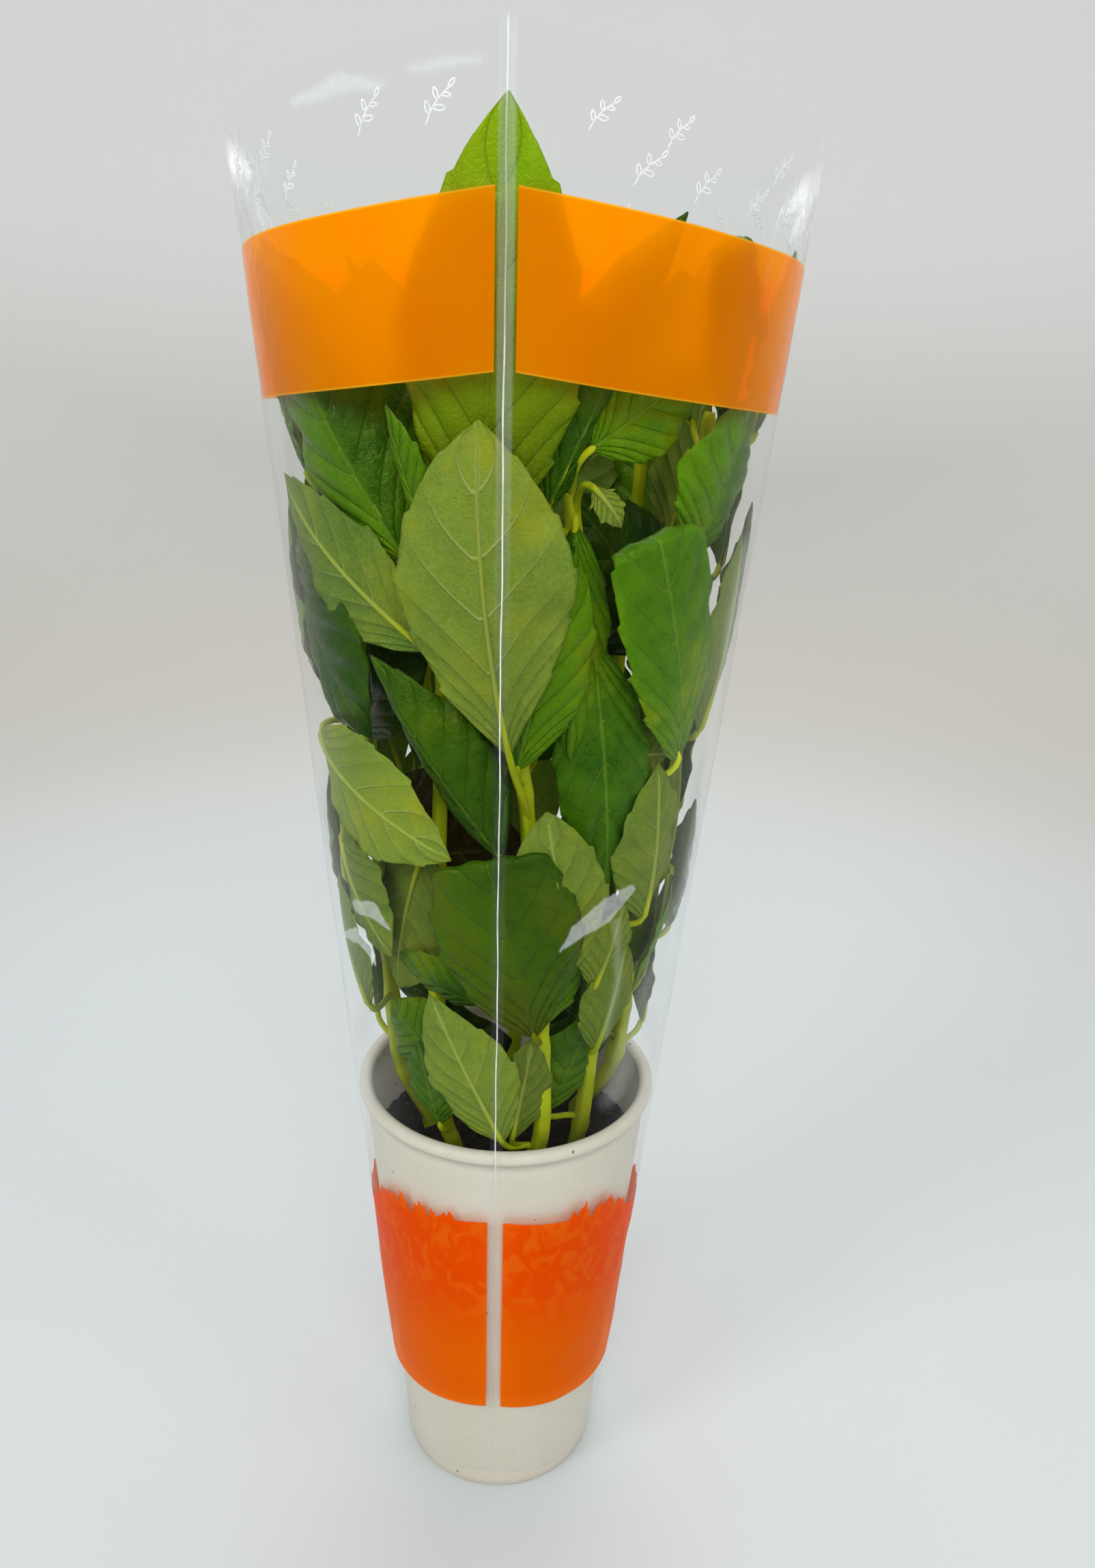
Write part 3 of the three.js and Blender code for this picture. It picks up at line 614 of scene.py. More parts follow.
def weld_material():
    """The welded edge of the film: clear, with a painted highlight in white along its bead from above the
    cup to the upper band.
    """
    n = Nodes("sleeve_weld")
    streaks = n.noise(n.place((1, 1, 0.05)), 1200, 3, 0.6)
    slant = n.field("sheet")[1]
    bead = n.field("face")[0]
    normal = n.bump(streaks, 0.0003, 0.6)
    clear = n.bsdf("Transparent", (0.98, 0.99, 0.99, 1))
    white = n.bsdf("Diffuse", (0.95, 0.97, 0.97, 1), Normal=normal)
    gloss = n.bsdf("Glossy", (1, 1, 1, 1), Roughness=0.16, Normal=normal)
    free = n.step(slant, WELD_FREE - 25, WELD_FREE + 15, 0.12, 1.0)
    # Painted highlight: white on the bead stands for the bright line of light along the weld, weaker where it
    # lies flat on the cup and over the upper band; the web keeps a faint haze.
    share = n.times(n.step(streaks, 0.35, 0.65, 0.55, 0.95), n.step(bead, 0.2, 0.9, 0.06, 1.0))
    share = n.times(share, n.step(slant, 696.0, 664.0, 0.3, 1.0), free)
    haze_and_painted_shine = n.mix_shader(share, clear, white)
    facing = n.add("LayerWeight", {"Blend": 0.5, "Normal": normal}, out=1)
    return n.finish(n.mix_shader(n.times(n.step(facing, 0.1, 1.0, 0.04, 0.4), free), haze_and_painted_shine, gloss))


def ink_material():
    """Thin white ink of the small sprigs printed on the clear film."""
    n = Nodes("sleeve_white_ink")
    cover = n.noise(n.place(), 500, 3, 0.6)
    clear = n.bsdf("Transparent", (0.98, 0.98, 0.98, 1))
    white = n.bsdf("Diffuse", (0.95, 0.97, 0.96, 1))
    return n.finish(n.mix_shader(n.step(cover, 0.3, 0.6, 0.5, 0.85), clear, white))


# ---------- leaves ----------

PLAIN_LEAF = dict(tilt=(0, 0), curl=15, arch=8, bow=0, over=None, belly=0.88, round=0.88)
PLAIN_LEAF.update(out="top", tone=0.5, fade=0.0, light=1.0)


class Leaf:
    """node is the height at which it leaves the stem. base and tip are (azimuth in degrees from -Y, height,
    depth inside the film). tilt is how far the left and right halves lean inwards, curl how much more they
    lean at the margin, arch how much the blade bows out towards the film, bow how it bends sideways, over =
    (where, angle) folds its end back, a smaller belly moves the widest place towards the base, and a smaller
    round makes the outline fuller. out is the side that shows from outside. tone goes from dark green to
    yellow, and below 0 it turns brown. It is a pair where the left and the right half differ, and fade is its
    change from base to tip. light scales the colour as painted light and shade, and is a pair where base
    and tip differ."""

    def __init__(self, node, base, tip, width, **shape):
        self.__dict__.update(PLAIN_LEAF, node=node, base=base, tip=tip, width=width)
        self.__dict__.update(shape)
        az0, z0, d0 = base
        az1, z1, d1 = tip
        self.radius = film_radius((z0 + z1) / 2) - (d0 + d1) / 2
        across = math.radians(az1 - az0) * self.radius
        flat = math.hypot(across, z1 - z0)
        self.length = math.hypot(flat, d1 - d0)
        self.heading = math.atan2(across, z1 - z0)
        self.rise = math.atan2(d1 - d0, flat)
        draw = drawer(int(7919 + 97 * z0 + 13 * az0 + 31 * width) % 2147483646 + 1)
        self.phase = [TAU * draw() for _ in range(3)]
        self.at = np.linspace(0, 1, RIB_STEPS + 1)
        heading, slope = self.angles((self.at[:-1] + self.at[1:]) / 2)
        step = self.length / RIB_STEPS
        course = [np.cos(slope) * np.sin(heading), np.cos(slope) * np.cos(heading), np.sin(slope)]
        starts = [0.0, z0, d0]
        self.rib = [start + np.append(0, np.cumsum(part * step)) for start, part in zip(starts, course)]
        self.rib += self.angles(self.at)

    def angles(self, s):
        heading = self.heading + math.radians(self.bow) * (1 - 2 * s)
        slope = self.rise + math.radians(self.arch) * (2 * s - 1)
        if self.over:
            where, angle = self.over
            slope = slope + math.radians(angle) * smooth_step((s - where) / FOLD_SPAN + 0.5)
        return heading, slope

    def half_width(self, s):
        inside = np.clip(s, 1e-6, 1 - 1e-6)
        round_width = self.width / 2 * np.sin(math.pi * inside**self.belly) ** self.round
        return np.maximum(np.maximum(round_width, PETIOLE * (1 - s / 0.08)), TIP_HALF_WIDTH)

    def points(self, s, side, offset=0.0, tooth=0.0, push=0.0):
        """Points at s from base to tip and side from -1 to 1. push moves the blade inwards before it presses
        on the film, and offset is along its normal, inwards."""
        s, side, offset, tooth, push = np.broadcast_arrays(s, side, offset, tooth, push)
        across, z, depth, heading, slope = (np.interp(s, self.at, row) for row in self.rib)
        reach = np.abs(side) * self.half_width(s) + tooth
        lean = np.where(side < 0, math.radians(self.tilt[0]), math.radians(self.tilt[1]))
        more = np.maximum(1e-4, math.radians(self.curl) * np.abs(side))
        out = np.sign(side) * reach * (np.sin(lean + more) - np.sin(lean)) / more
        inwards = reach * (np.cos(lean) - np.cos(lean + more)) / more + push
        edge = (lean + more) * smooth_step(np.abs(side) * 8)

        def settle(o, n):
            return (
                across + np.cos(heading) * o - np.sin(slope) * np.sin(heading) * n,
                z - np.sin(heading) * o - np.sin(slope) * np.cos(heading) * n,
                np.cos(slope) * n,
            )

        x, y, deep = settle(out, inwards)
        above = depth + deep - LEAST_DEPTH
        pressed = LEAST_DEPTH + (above + np.hypot(above, PRESS)) / 2
        dx, dy, d_deep = settle(-np.sign(side) * offset * np.sin(edge), offset * np.cos(edge))
        height = y + dy - z
        azimuth = math.radians(self.base[0]) + (x + dx - across) / self.radius
        return around_axis(film_radius(height) - pressed - d_deep, azimuth, height)

    def teeth(self):
        """Places of the teeth along the margin: each rises slowly to its point and drops at once."""
        count = max(4, round(self.length * (TEETH[1] - TEETH[0]) / TOOTH_PITCH))
        return TEETH[0] + (TEETH[1] - TEETH[0]) * (np.arange(count) + 0.5) / count

    def stations(self):
        teeth = self.teeth()
        plain = np.linspace(0, 1, BLADE_ROWS)
        near = np.abs(plain[:, None] - teeth[None, :]).min(1)
        plain = plain[(near > 0.007) | (plain < 0.01) | (plain > 0.99)]
        return np.unique(np.concatenate([plain, teeth, teeth + TOOTH_DROP, [0.01, 0.985]]))

    def tooth_height(self, s):
        teeth = self.teeth()
        peaks = np.concatenate([[TEETH[0] - 0.03 + TOOTH_DROP], teeth + TOOTH_DROP])
        knots, heights = [0.0, peaks[0]], [0.0, 0.0]
        for i, peak in enumerate(teeth):
            size = TOOTH * (0.6 + 0.4 * math.sin(3.1 * i + self.phase[0])) * min(1, 8 * (1 - peak))
            knots += [peak, peak + TOOTH_DROP]
            heights += [size, 0.0]
        return np.interp(s, knots + [1.0], heights + [0.0])

    def vein_count(self, s, side):
        """Whole where a side vein runs. The two halves' veins are a little apart."""
        along = s - VEIN_LEAN * np.abs(side) ** VEIN_BEND * (1 - 0.5 * s) + np.where(side < 0, 0.018, 0.0)
        return VEINS * np.sign(along) * np.abs(along) ** 0.85

    def relief(self, s, side):
        """How far the blade stands inwards of its smooth form: quilted between the veins, grooved along the
        rib and waved at the margin."""
        away = -1.0 if self.out == "top" else 1.0
        apart = np.abs(side)
        inside = np.sin(math.pi * np.clip(apart, 0, 1)) ** 0.7 * np.sin(math.pi * np.clip(s, 0, 1)) ** 0.5
        quilt = (1 - np.cos(TAU * self.vein_count(s, side))) / 2 * inside * QUILT[self.out] * self.width
        groove = -RIB_GROOVE * np.exp(-((apart * self.half_width(s) / GROOVE_HALF) ** 2)) * (1 - s)
        left, right = self.phase[1], self.phase[2]
        wave = np.sin(TAU * 2.6 * s + np.where(side < 0, left, right))
        wave = wave + 0.5 * np.sin(TAU * 6.1 * s + 2 * right + side)
        margin = apart**2.5 * wave * MARGIN_WAVE * self.width * np.sin(math.pi * s)
        return away * (quilt + groove) + margin


# Columns of a blade from side to side, closer together at the margins.
EVEN = np.linspace(-1, 1, BLADE_COLUMNS)
ACROSS = np.sin(EVEN * math.pi / 2) * 0.35 + EVEN * 0.65
UPPER, UNDER, STALK = 0, 1, 2


def add_blade(surface, leaf):
    s, side = np.meshgrid(leaf.stations(), ACROSS, indexing="ij")
    tooth = leaf.tooth_height(s) * np.abs(side) ** 8
    push = leaf.relief(s, side)
    half = BLADE_HALF * (1 - 0.5 * np.abs(side) ** 4)
    skins = [leaf.points(s, side, offset, tooth, push).reshape(-1, 3) for offset in (-half, half)]
    rows, columns = s.shape
    count = rows * columns
    loop = edge_loop(rows, columns)
    following = np.roll(loop, -1)
    outside, inside = (UPPER, UNDER) if leaf.out == "top" else (UNDER, UPPER)
    rim = np.stack([following, loop, loop + count, following + count], 1)
    faces = [grid_faces(rows, columns), grid_faces(rows, columns, count)[:, ::-1], rim]
    marks = np.tile(triples(s, side, leaf.vein_count(s, side)).reshape(-1, 3), (2, 1))
    apart = side * leaf.half_width(s)
    left, right = np.broadcast_to(leaf.tone, 2)
    tone = left + (right - left) * smooth_step(side * 4 + 0.5) + leaf.fade * s
    # Painted light and shade: light runs from its base value to its tip value along the blade.
    at_base, at_tip = np.broadcast_to(leaf.light, 2)
    blade = np.tile(triples(apart, tone, at_base + (at_tip - at_base) * s).reshape(-1, 3), (2, 1))
    surface.add(np.concatenate(skins), faces, (outside, inside, outside), leaf=marks, blade=blade)


def bezier(points, steps):
    a, b, c, d = (np.asarray(p, float) for p in points)
    t = np.linspace(0, 1, steps)[:, None]
    return a * (1 - t) ** 3 + 3 * b * t * (1 - t) ** 2 + 3 * c * t * t * (1 - t) + d * t**3


def add_petiole(surface, leaf, start):
    """The petiole from the stem to the blade, and on along the blade's underside as its paler rib."""
    base, ahead = leaf.points(np.array([0.0, 0.1]), 0.0)
    along = (ahead - base) / np.linalg.norm(ahead - base)
    span = np.linalg.norm(base - start)
    pull = PETIOLE_PULL * span
    stalk = bezier([start, start + [0, 0, pull], base - along * pull, base], PETIOLE_ROWS)
    s = np.linspace(0.03, 0.94, RIB_ROWS)
    rib_size = 0.8 * PETIOLE * (1 - s) ** 0.8 + 0.1
    shift = rib_size * 0.9 if leaf.out == "top" else -0.45 * rib_size
    rib = leaf.points(s, 0.0, shift, 0.0, leaf.relief(s, np.zeros_like(s)))
    centres = np.concatenate([stalk, rib])
    sizes = np.concatenate([np.linspace(1.1, 1.0, len(stalk)) * PETIOLE, rib_size])
    normal = np.cross(along, [0.3, 0.2, 0.9])
    paler = np.repeat(smooth_step((np.arange(len(centres)) - len(stalk)) / 8), PETIOLE_SIDES)
    # The petiole takes the painted light and shade of its leaf's base.
    marks = triples(paler, 0.0, np.broadcast_to(leaf.light, 2)[0])
    surface.add(*sweep(centres, ring_section(PETIOLE_SIDES), sizes, normal), STALK, blade=marks)


class Curve:
    """A centripetal Catmull-Rom curve through points."""

    def __init__(self, points):
        self.points = np.asarray(points, float)

    def at(self, t):
        p = self.points
        last = len(p) - 1
        place = min(max(t, 0.0), 1.0) * last
        i = min(int(place), last - 1)
        u = place - i
        before = p[i - 1] if i > 0 else 2 * p[0] - p[1]
        after = p[i + 2] if i + 2 <= last else 2 * p[last] - p[last - 1]
        pairs = [(before, p[i]), (p[i], p[i + 1]), (p[i + 1], after)]
        d0, d1, d2 = (max(1e-6, np.linalg.norm(b - a)) ** 0.5 for a, b in pairs)
        m1 = d1 * ((p[i] - before) / d0 - (p[i + 1] - before) / (d0 + d1) + (p[i + 1] - p[i]) / d1)
        m2 = d1 * ((p[i + 1] - p[i]) / d1 - (after - p[i]) / (d1 + d2) + (after - p[i + 1]) / d2)
        c2 = -3 * p[i] + 3 * p[i + 1] - 2 * m1 - m2
        c3 = 2 * p[i] - 2 * p[i + 1] + m1 + m2
        return p[i] + m1 * u + c2 * u * u + c3 * u**3

    def at_height(self, z):
        low, high = 0.0, 1.0
        for _ in range(24):
            middle = (low + high) / 2
            if self.at(middle)[2] < z:
                low = middle
            else:
                high = middle
        return self.at(low)


# ---------- the plant ----------

# Each stem: its foot (x, y) in the growing medium, and its path as (azimuth, height, distance from the axis).
STEMS = {
    "front": ((9, -22), [(20, 137, 35), (17, 163, 39), (9, 228, 42), (3, 262, 45), (-4, 292, 47)]),
    "front_left": (
        (-14, -15),
        [(-34, 137, 30), (-32, 180, 34), (-28, 232, 36), (-24, 272, 39), (-24, 290, 42)],
    ),
    "front_right": (
        (22, -10),
        [(50, 137, 31), (46, 180, 35), (38, 210, 37), (32, 250, 39), (24, 284, 42), (18, 312, 45)],
    ),
    "left": ((-24, 1), [(-84, 137, 32), (-84, 180, 36), (-84, 250, 41), (-86, 300, 45), (-86, 332, 48)]),
    "right": ((22, 10), [(92, 137, 32), (86, 180, 36), (84, 250, 41), (82, 296, 45), (80, 330, 48)]),
    "back_left": ((-14, 16), [(-135, 137, 31), (-134, 180, 35), (-134, 250, 40), (-134, 330, 48)]),
    "back": ((0, 24), [(178, 137, 32), (180, 180, 36), (181, 250, 40), (180, 330, 48)]),
    "back_right": ((12, 11), [(134, 137, 30), (134, 180, 34), (134, 250, 40), (135, 330, 48)]),
}

# Leaves on the far side, which the photo doesn't show
FIRST_JOINT = 142
JOINT_STEP = 35
HIDDEN_JOINTS = 6
HIGHEST_TIP = 368
UNDERSIDES = 0.45  # share of leaves that show their underside


def leaves_behind(azimuth, seed, sides):
    """Leaves for the far side of a stem: at its joints in turn one on each side, and one out and one in."""
    draw = drawer(seed)
    colours = drawer(seed + 1000)
    made = []

    def add(z, base, tip, width, **shape):
        out = "under" if colours() < UNDERSIDES else "top"
        tone = 0.1 + 0.6 * colours()
        made.append(Leaf(z, base, tip, width, out=out, tone=tone, **shape))

    for joint in range(HIDDEN_JOINTS):
        z = FIRST_JOINT + JOINT_STEP * joint
        turn = 180 / math.pi / film_radius(z)  # degrees for one millimetre
        far = 19 + 4 * draw()
        up = min(HIGHEST_TIP - z - 10, (0.75 + 0.2 * draw()) * film_radius(z))
        width = (0.44 + 0.1 * draw()) * film_radius(z)
        lean = draw() - 0.5
        if joint % 2 == 0:
            for side in sides:
                base = (azimuth + side * 5 * turn, z + 8, 6)
                tip = (azimuth + side * far * turn, z + 8 + up, 6 if side > 0 else 12)
                add(z, base, tip, width, curl=8)
        else:
            outer = (azimuth + lean * 14, z + 10 + up, 1.8)
            inner = (azimuth + lean * 10, z + 48, 23)
            add(z, (azimuth, z + 8, 3.5), outer, width + 4, curl=10)
            add(z, (azimuth, z + 10, 20), inner, 20, tilt=(30, 30), arch=-10)
    return made


LEAVES = {
    "front": [
        Leaf(290, (-6, 300, 9), (0, 386, 2), 38, arch=4, curl=8, tone=1.3, light=(0.58, 1.8)),
        Leaf(228, (2, 253, 3), (-5, 328, 1.6), 40, belly=1.1, arch=3, curl=6, bow=-8, out="under",
             tone=0.4, fade=0.1, light=(1.0, 1.25)),
        Leaf(284, (-7, 302, 20), (5, 244, 15), 27, belly=1.1, tone=0.3),
        Leaf(240, (4, 248, 7), (16, 302, 5.6), 22, curl=8, tone=(0.2, 0.75)),
        Leaf(214, (0, 224, 8), (-39, 273, 7), 29, tilt=(40, 10), tone=0.3, light=0.8),
        Leaf(166, (12, 173, 4), (-9, 245, 1.6), 37, over=(0.74, 140), curl=8, tone=(1.5, 1.2),
             fade=-1.3, light=(0.36, 0.72)),
        Leaf(166, (15, 172, 10), (27, 205, 10), 16, tone=0.55),
        Leaf(176, (21, 190, 5), (12, 239, 3), 26, curl=8, round=0.75, out="under", tone=0.35, light=1.1),
        Leaf(124, (2, 136, 7.5), (-22, 185, 2), 25, out="under", tone=0.4, light=1.25),
        Leaf(124, (6, 136, 9), (12, 172, 6), 16, out="under", tone=0.3, light=0.8),
    ],
    "front_left": [
        Leaf(286, (-26, 297, 8), (-62, 364, 3), 40, tilt=(0, 38), tone=(0.75, 0.15)),
        Leaf(268, (-21, 276, 9), (-68, 313, 2.5), 26, curl=5, out="under", tone=0.1, light=1.15),
        Leaf(286, (-19, 304, 6), (-26, 330, 5), 12, tilt=(40, -20), tone=0.7),
        Leaf(178, (-5, 181, 8), (-46, 189, 9), 18, tilt=(30, -10), tone=0.3),
        Leaf(156, (-26, 160, 10), (-54, 171, 10), 22, tilt=(-10, 20), tone=0.5, light=0.9),
        Leaf(212, (-28, 222, 11), (-45, 178, 9), 28, round=0.65, out="under", tone=0.3, light=0.8),
        Leaf(124, (-27, 137, 9), (-31, 166, 6), 16, tone=0.3),
    ],
    "front_right": [
        Leaf(300, (17, 306, 10), (19, 250, 8), 20, tilt=(10, 40), tone=(0.7, 0.3)),
        Leaf(300, (10, 308, 13), (35, 369, 6), 28, tilt=(0, 40), tone=0.15),
        Leaf(310, (20, 322, 11), (50, 343, 9), 24, tone=0.85, light=1.1),
        Leaf(228, (55, 247, 3.5), (28, 320, 2), 28, over=(0.78, 110), curl=8, belly=1, round=0.5,
             tone=0.4, light=1.5),
        Leaf(280, (24, 279, 10), (36, 210, 8), 24, tilt=(-10, 15), tone=0.15, light=1.35),
        Leaf(196, (53, 201, 6), (47, 247, 4.5), 26, out="under", tone=0.3, light=1.1),
        Leaf(240, (38, 250, 9), (58, 247, 8), 14, out="under", tone=0.6),
        Leaf(160, (38, 163, 7), (46, 196, 6), 19, out="under", tone=0.3),
        Leaf(178, (34, 184, 7), (41, 209, 5), 16, out="under", tone=0.5),
        Leaf(128, (26, 140, 15), (42, 172, 13), 26, tone=0.3),
        Leaf(304, (20, 314, 8), (27, 305, 5), 6, arch=40, out="under", tone=0.7),
    ],
    "left": [
        Leaf(292, (-84, 296, 4), (-45, 250, 9), 44, curl=8, tone=0.0, light=0.9),
        Leaf(240, (-66, 248, 3), (-13, 225, 2), 31, curl=8, out="under", tone=0.45, light=1.3),
        Leaf(222, (-66, 219, 5), (-38, 191, 4), 26, out="under", tone=0.35, light=1.05),
        Leaf(200, (-70, 204, 5), (-54, 238, 7), 20, out="under", tone=0.3),
        Leaf(160, (-64, 166, 6), (-76, 205, 3), 25, out="under", tone=0.4),
        # Deeper inside, closing the gaps between those in front, most darkened by a low light as painted
        # shade.
        Leaf(300, (-84, 312, 8), (-78, 352, 4), 26, tone=0.5),
        Leaf(236, (-74, 244, 16), (-36, 286, 24), 28, tone=0.0, light=0.5),
        Leaf(198, (-74, 214, 17), (10, 222, 27), 44, tone=-0.6, light=0.35),
        Leaf(160, (-80, 170, 15), (-34, 198, 21), 34, tone=0.0, light=0.45),
        Leaf(134, (-78, 150, 16), (8, 156, 30), 32, tone=-0.3, light=0.35),
        *leaves_behind(-92, 11, [-1]),
    ],
    "right": [
        Leaf(316, (60, 324, 8), (41, 372, 2), 20, over=(0.84, 120), curl=8, belly=1.1, tone=0.4),
        Leaf(290, (55, 297, 8), (63, 335, 3), 34, tone=(0.9, 0.4), light=1.1),
        Leaf(244, (72, 250, 5), (76, 302, 3), 30, out="under", tone=0.3, light=1.1),
        Leaf(186, (80, 206, 6), (56, 178, 7), 15, tilt=(30, -20), tone=0.9),
        # Deeper inside, closing the gaps between those in front, most darkened by a low light as painted
        # shade.
        Leaf(262, (70, 272, 18), (20, 312, 25), 34, tone=0.0, light=0.45),
        Leaf(204, (74, 216, 17), (34, 262, 23), 36, tone=0.0, light=0.4),
        Leaf(144, (82, 152, 16), (22, 176, 27), 36, tone=0.0, light=0.4),
        Leaf(160, (80, 172, 10), (62, 228, 11), 28, out="under", tone=0.2, light=0.7),
        Leaf(200, (79, 204, 9), (68, 250, 9), 26, out="under", tone=0.25, light=0.85),
        *leaves_behind(92, 23, [1]),
    ],
    "back_left": leaves_behind(-135, 37, [-1, 1]),
    "back": leaves_behind(180, 41, [-1, 1]),
    "back_right": leaves_behind(135, 59, [-1, 1]),
}


def leafy_stem(name, materials):
    (x, y), path = STEMS[name]
    azimuth, z, r = np.array(path, float).T
    curve = Curve([(x, y, STEM_RISES), *around_axis(r, np.radians(azimuth), z)])
    foot_z = SOIL_TOP - HOLE_DEPTH + GAP
    centres = [(x, y, z) for z in np.linspace(foot_z, STEM_RISES - 3, 4)]
    centres += [curve.at(t) for t in np.linspace(0.0, 1.0, STEM_ROWS)]
    heights = np.array(centres)[:, 2]
    sizes = STEM_LOW + (STEM_HIGH - STEM_LOW) * smooth_step((heights - 120) / 180)
    for node in {leaf.node for leaf in LEAVES[name]}:
        sizes = sizes * (1 + NODE_SWELL * np.exp(-(((heights - node) / NODE_SPAN) ** 2)))
    sizes = sizes * np.where(heights > heights.max() - 1.5, 0.75, 1.0)
    surface = Surface("leaf", "blade")
    section = ring_section(STEM_SIDES, STEM_SQUARENESS)
    surface.add(*sweep(centres, section, sizes, (0.8, 0.6, 0.1)), STALK, blade=(0, 0, 1.0))
    for leaf in LEAVES[name]:
        add_petiole(surface, leaf, curve.at_height(leaf.node))
        add_blade(surface, leaf)
    piece = surface.finish("basil_" + name, materials)
    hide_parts("leafy_stem_" + name)
    return piece


# ---------- cup and growing medium ----------

SEAM_AT = math.radians(152)  # the paper laps over itself here
SEAM_WIDE = 7.0
SEAM_STEP = 0.22
CUP_SEGMENTS = 220
SOIL_SEGMENTS = 200


def cup():
    rim_r, rim_z = RIM_AT
    round_rim = np.radians(np.linspace(-110, 205, 25))
    roll = [(rim_r + RIM_R * math.cos(a), rim_z + RIM_R * math.sin(a)) for a in round_rim]
    floor_top = FLOOR_Z + FLOOR
    lower, upper = 0.5, WALL_TOP - 1.2
    outside = [(wall_radius(z), z) for z in np.linspace(lower, upper, 48)]
    inside = [(wall_radius(z) - WALL, z) for z in np.linspace(upper, floor_top + 0.4, 40)]
    ring_r = FOOT_R - FOOT_RING
    profile = [(0, FLOOR_Z), (ring_r - 0.4, FLOOR_Z), (ring_r, FLOOR_Z - 0.4)]
    profile += [(ring_r, 0.35), (ring_r + 0.35, 0), (FOOT_R - 0.35, 0), *outside, *roll, *inside]
    profile += [(wall_radius(floor_top) - WALL - 0.4, floor_top), (0, floor_top)]

    def lap(points, r, turn, z):
        """The lapped seam, and a slight waviness of the hand-filled cup."""
        apart = np.abs(np.angle(np.exp(1j * (turn - SEAM_AT)))) * r
        on_outside = (r >= wall_radius(z) - 0.05) & (z > 0.4)
        step = np.where(on_outside, SEAM_STEP * (apart < SEAM_WIDE / 2), 0.0)
        held = smooth_step((z - 10) / 60) * smooth_step((WALL_TOP - 4 - z) / 20)
        wave = 0.12 * np.sin(3 * turn + z / 40) * held
        grown = (r + np.minimum(step + wave, 0.3)) / np.maximum(r, 1e-6)
        return points * np.stack([grown, grown, np.ones_like(grown)], -1)

    surface = Surface()
    lathe(surface, profile, CUP_SEGMENTS, lap)
    piece = surface.finish("paper_cup", [paper_material()])
    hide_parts("cup")
    return piece


def growing_medium():
    low = FLOOR_Z + FLOOR + GAP
    side = [(wall_radius(z) - WALL - GAP, z) for z in np.linspace(low, SOIL_TOP - 0.6, 20)]
    edge, shoulder = side[-1]
    top = [(edge * t, shoulder + (SOIL_CROWN - 0.4) * (1 - t**4)) for t in np.linspace(0.99, 0.02, 56)]

    def crumble(points, r, turn, z):
        x, y = points[..., 0], points[..., 1]
        rough = 0.45 * waves(x, y, 5, 22, 2.2, 9.0) + 0.35 * np.abs(waves(x, y, 17, 22, 1.6, 4.0))
        lift = np.where(z > SOIL_TOP - 1.0, np.clip(rough, -1.4, 0.55), 0.0)
        points[..., 2] += lift * smooth_step(r / 4)
        return points

    surface = Surface()
    lathe(surface, [(0, low), *side, *top, (0, SOIL_TOP + SOIL_CROWN - 1.0)], SOIL_SEGMENTS, crumble)
    piece = surface.finish("growing_medium", [soil_material()])
    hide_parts("root_cube")
    return piece


# ---------- sleeve ----------

FILM, WELD, INK = 0, 1, 2
PANEL_APART = 400.0  # keeps the two panels' patterns apart
FILM_COLUMNS, FILM_ROWS, WELD_ROWS = 320, 200, 240


def panel_angle(azimuth):
    """Where an azimuth lies on its flat panel, as an angle at the apex from the panel's middle."""
    turned = np.abs(np.arctan2(np.sin(azimuth), np.cos(azimuth)))
    return PANEL_HALF_ANGLE * (turned / (math.pi / 2) - 1)


def film_point(azimuth, slant, offset):
    from_apex = slant / np.cos(panel_angle(azimuth))
    z = APEX_Z + from_apex * math.cos(FILM_HALF_ANGLE)
    return around_axis(from_apex * math.sin(FILM_HALF_ANGLE) + offset, azimuth, z)


def sheet_place(azimuth, slant):
    """Across the flat panel, slant, and distance from the nearer seam."""
    angle = panel_angle(azimuth)
    side = np.where(np.sin(azimuth) < 0, PANEL_APART, 0.0)
    seam = slant / np.cos(angle) * np.sin(PANEL_HALF_ANGLE - np.abs(angle))
    return triples(slant * np.tan(angle) + side, slant, seam)


def film_wrinkle(azimuth, slant):
    """How far the film strays from its cone. It stays clear of the leaves and of the cup's rim."""
    around = azimuth * 60
    soft = waves(around, slant, 3, 9, 40, 140)
    creased = 1 - np.abs(waves(around * 0.7, slant * 1.3, 29, 9, 26, 90))
    short = waves(around, slant, 71, 12, 9, 26)
    free = smooth_step((slant - 700) / 30)
    body = 0.16 * soft + 0.10 * creased + 0.03 * short
    top = 0.5 * np.minimum(soft, 0) + 0.35 * np.minimum(creased, 0) + 0.10 * np.minimum(short, 0)
    seam = sheet_place(azimuth, slant)[..., 2]
    return np.clip(body, -0.22, 0.14) * smooth_step(seam / 6) + free * top * smooth_step(seam / 8)


def add_film(surface):
    j = np.arange(FILM_COLUMNS)
    k = (j + 1) % FILM_COLUMNS
    azimuth, slant = np.meshgrid(TAU * j / FILM_COLUMNS, np.linspace(SLEEVE_LOW, SLEEVE_HIGH, FILM_ROWS))
    stray = film_wrinkle(azimuth, slant)
    skins = [film_point(azimuth, slant, stray + half).reshape(-1, 3) for half in (FILM_HALF, -FILM_HALF)]
    count = FILM_COLUMNS * FILM_ROWS
    last = count - FILM_COLUMNS
    faces = [
        grid_faces(FILM_ROWS, FILM_COLUMNS, around=True),
        grid_faces(FILM_ROWS, FILM_COLUMNS, count, around=True)[:, ::-1],
        np.stack([j + count, k + count, k, j], 1),
        last + np.stack([k + count, j + count, j, k], 1),
    ]
    sheet = np.tile(sheet_place(azimuth, slant).reshape(-1, 3), (2, 1))
    face = np.zeros((2 * count, 3))
    face[:count, 0] = 1.0
    surface.add(np.concatenate(skins), faces, FILM, sheet=sheet, face=face)


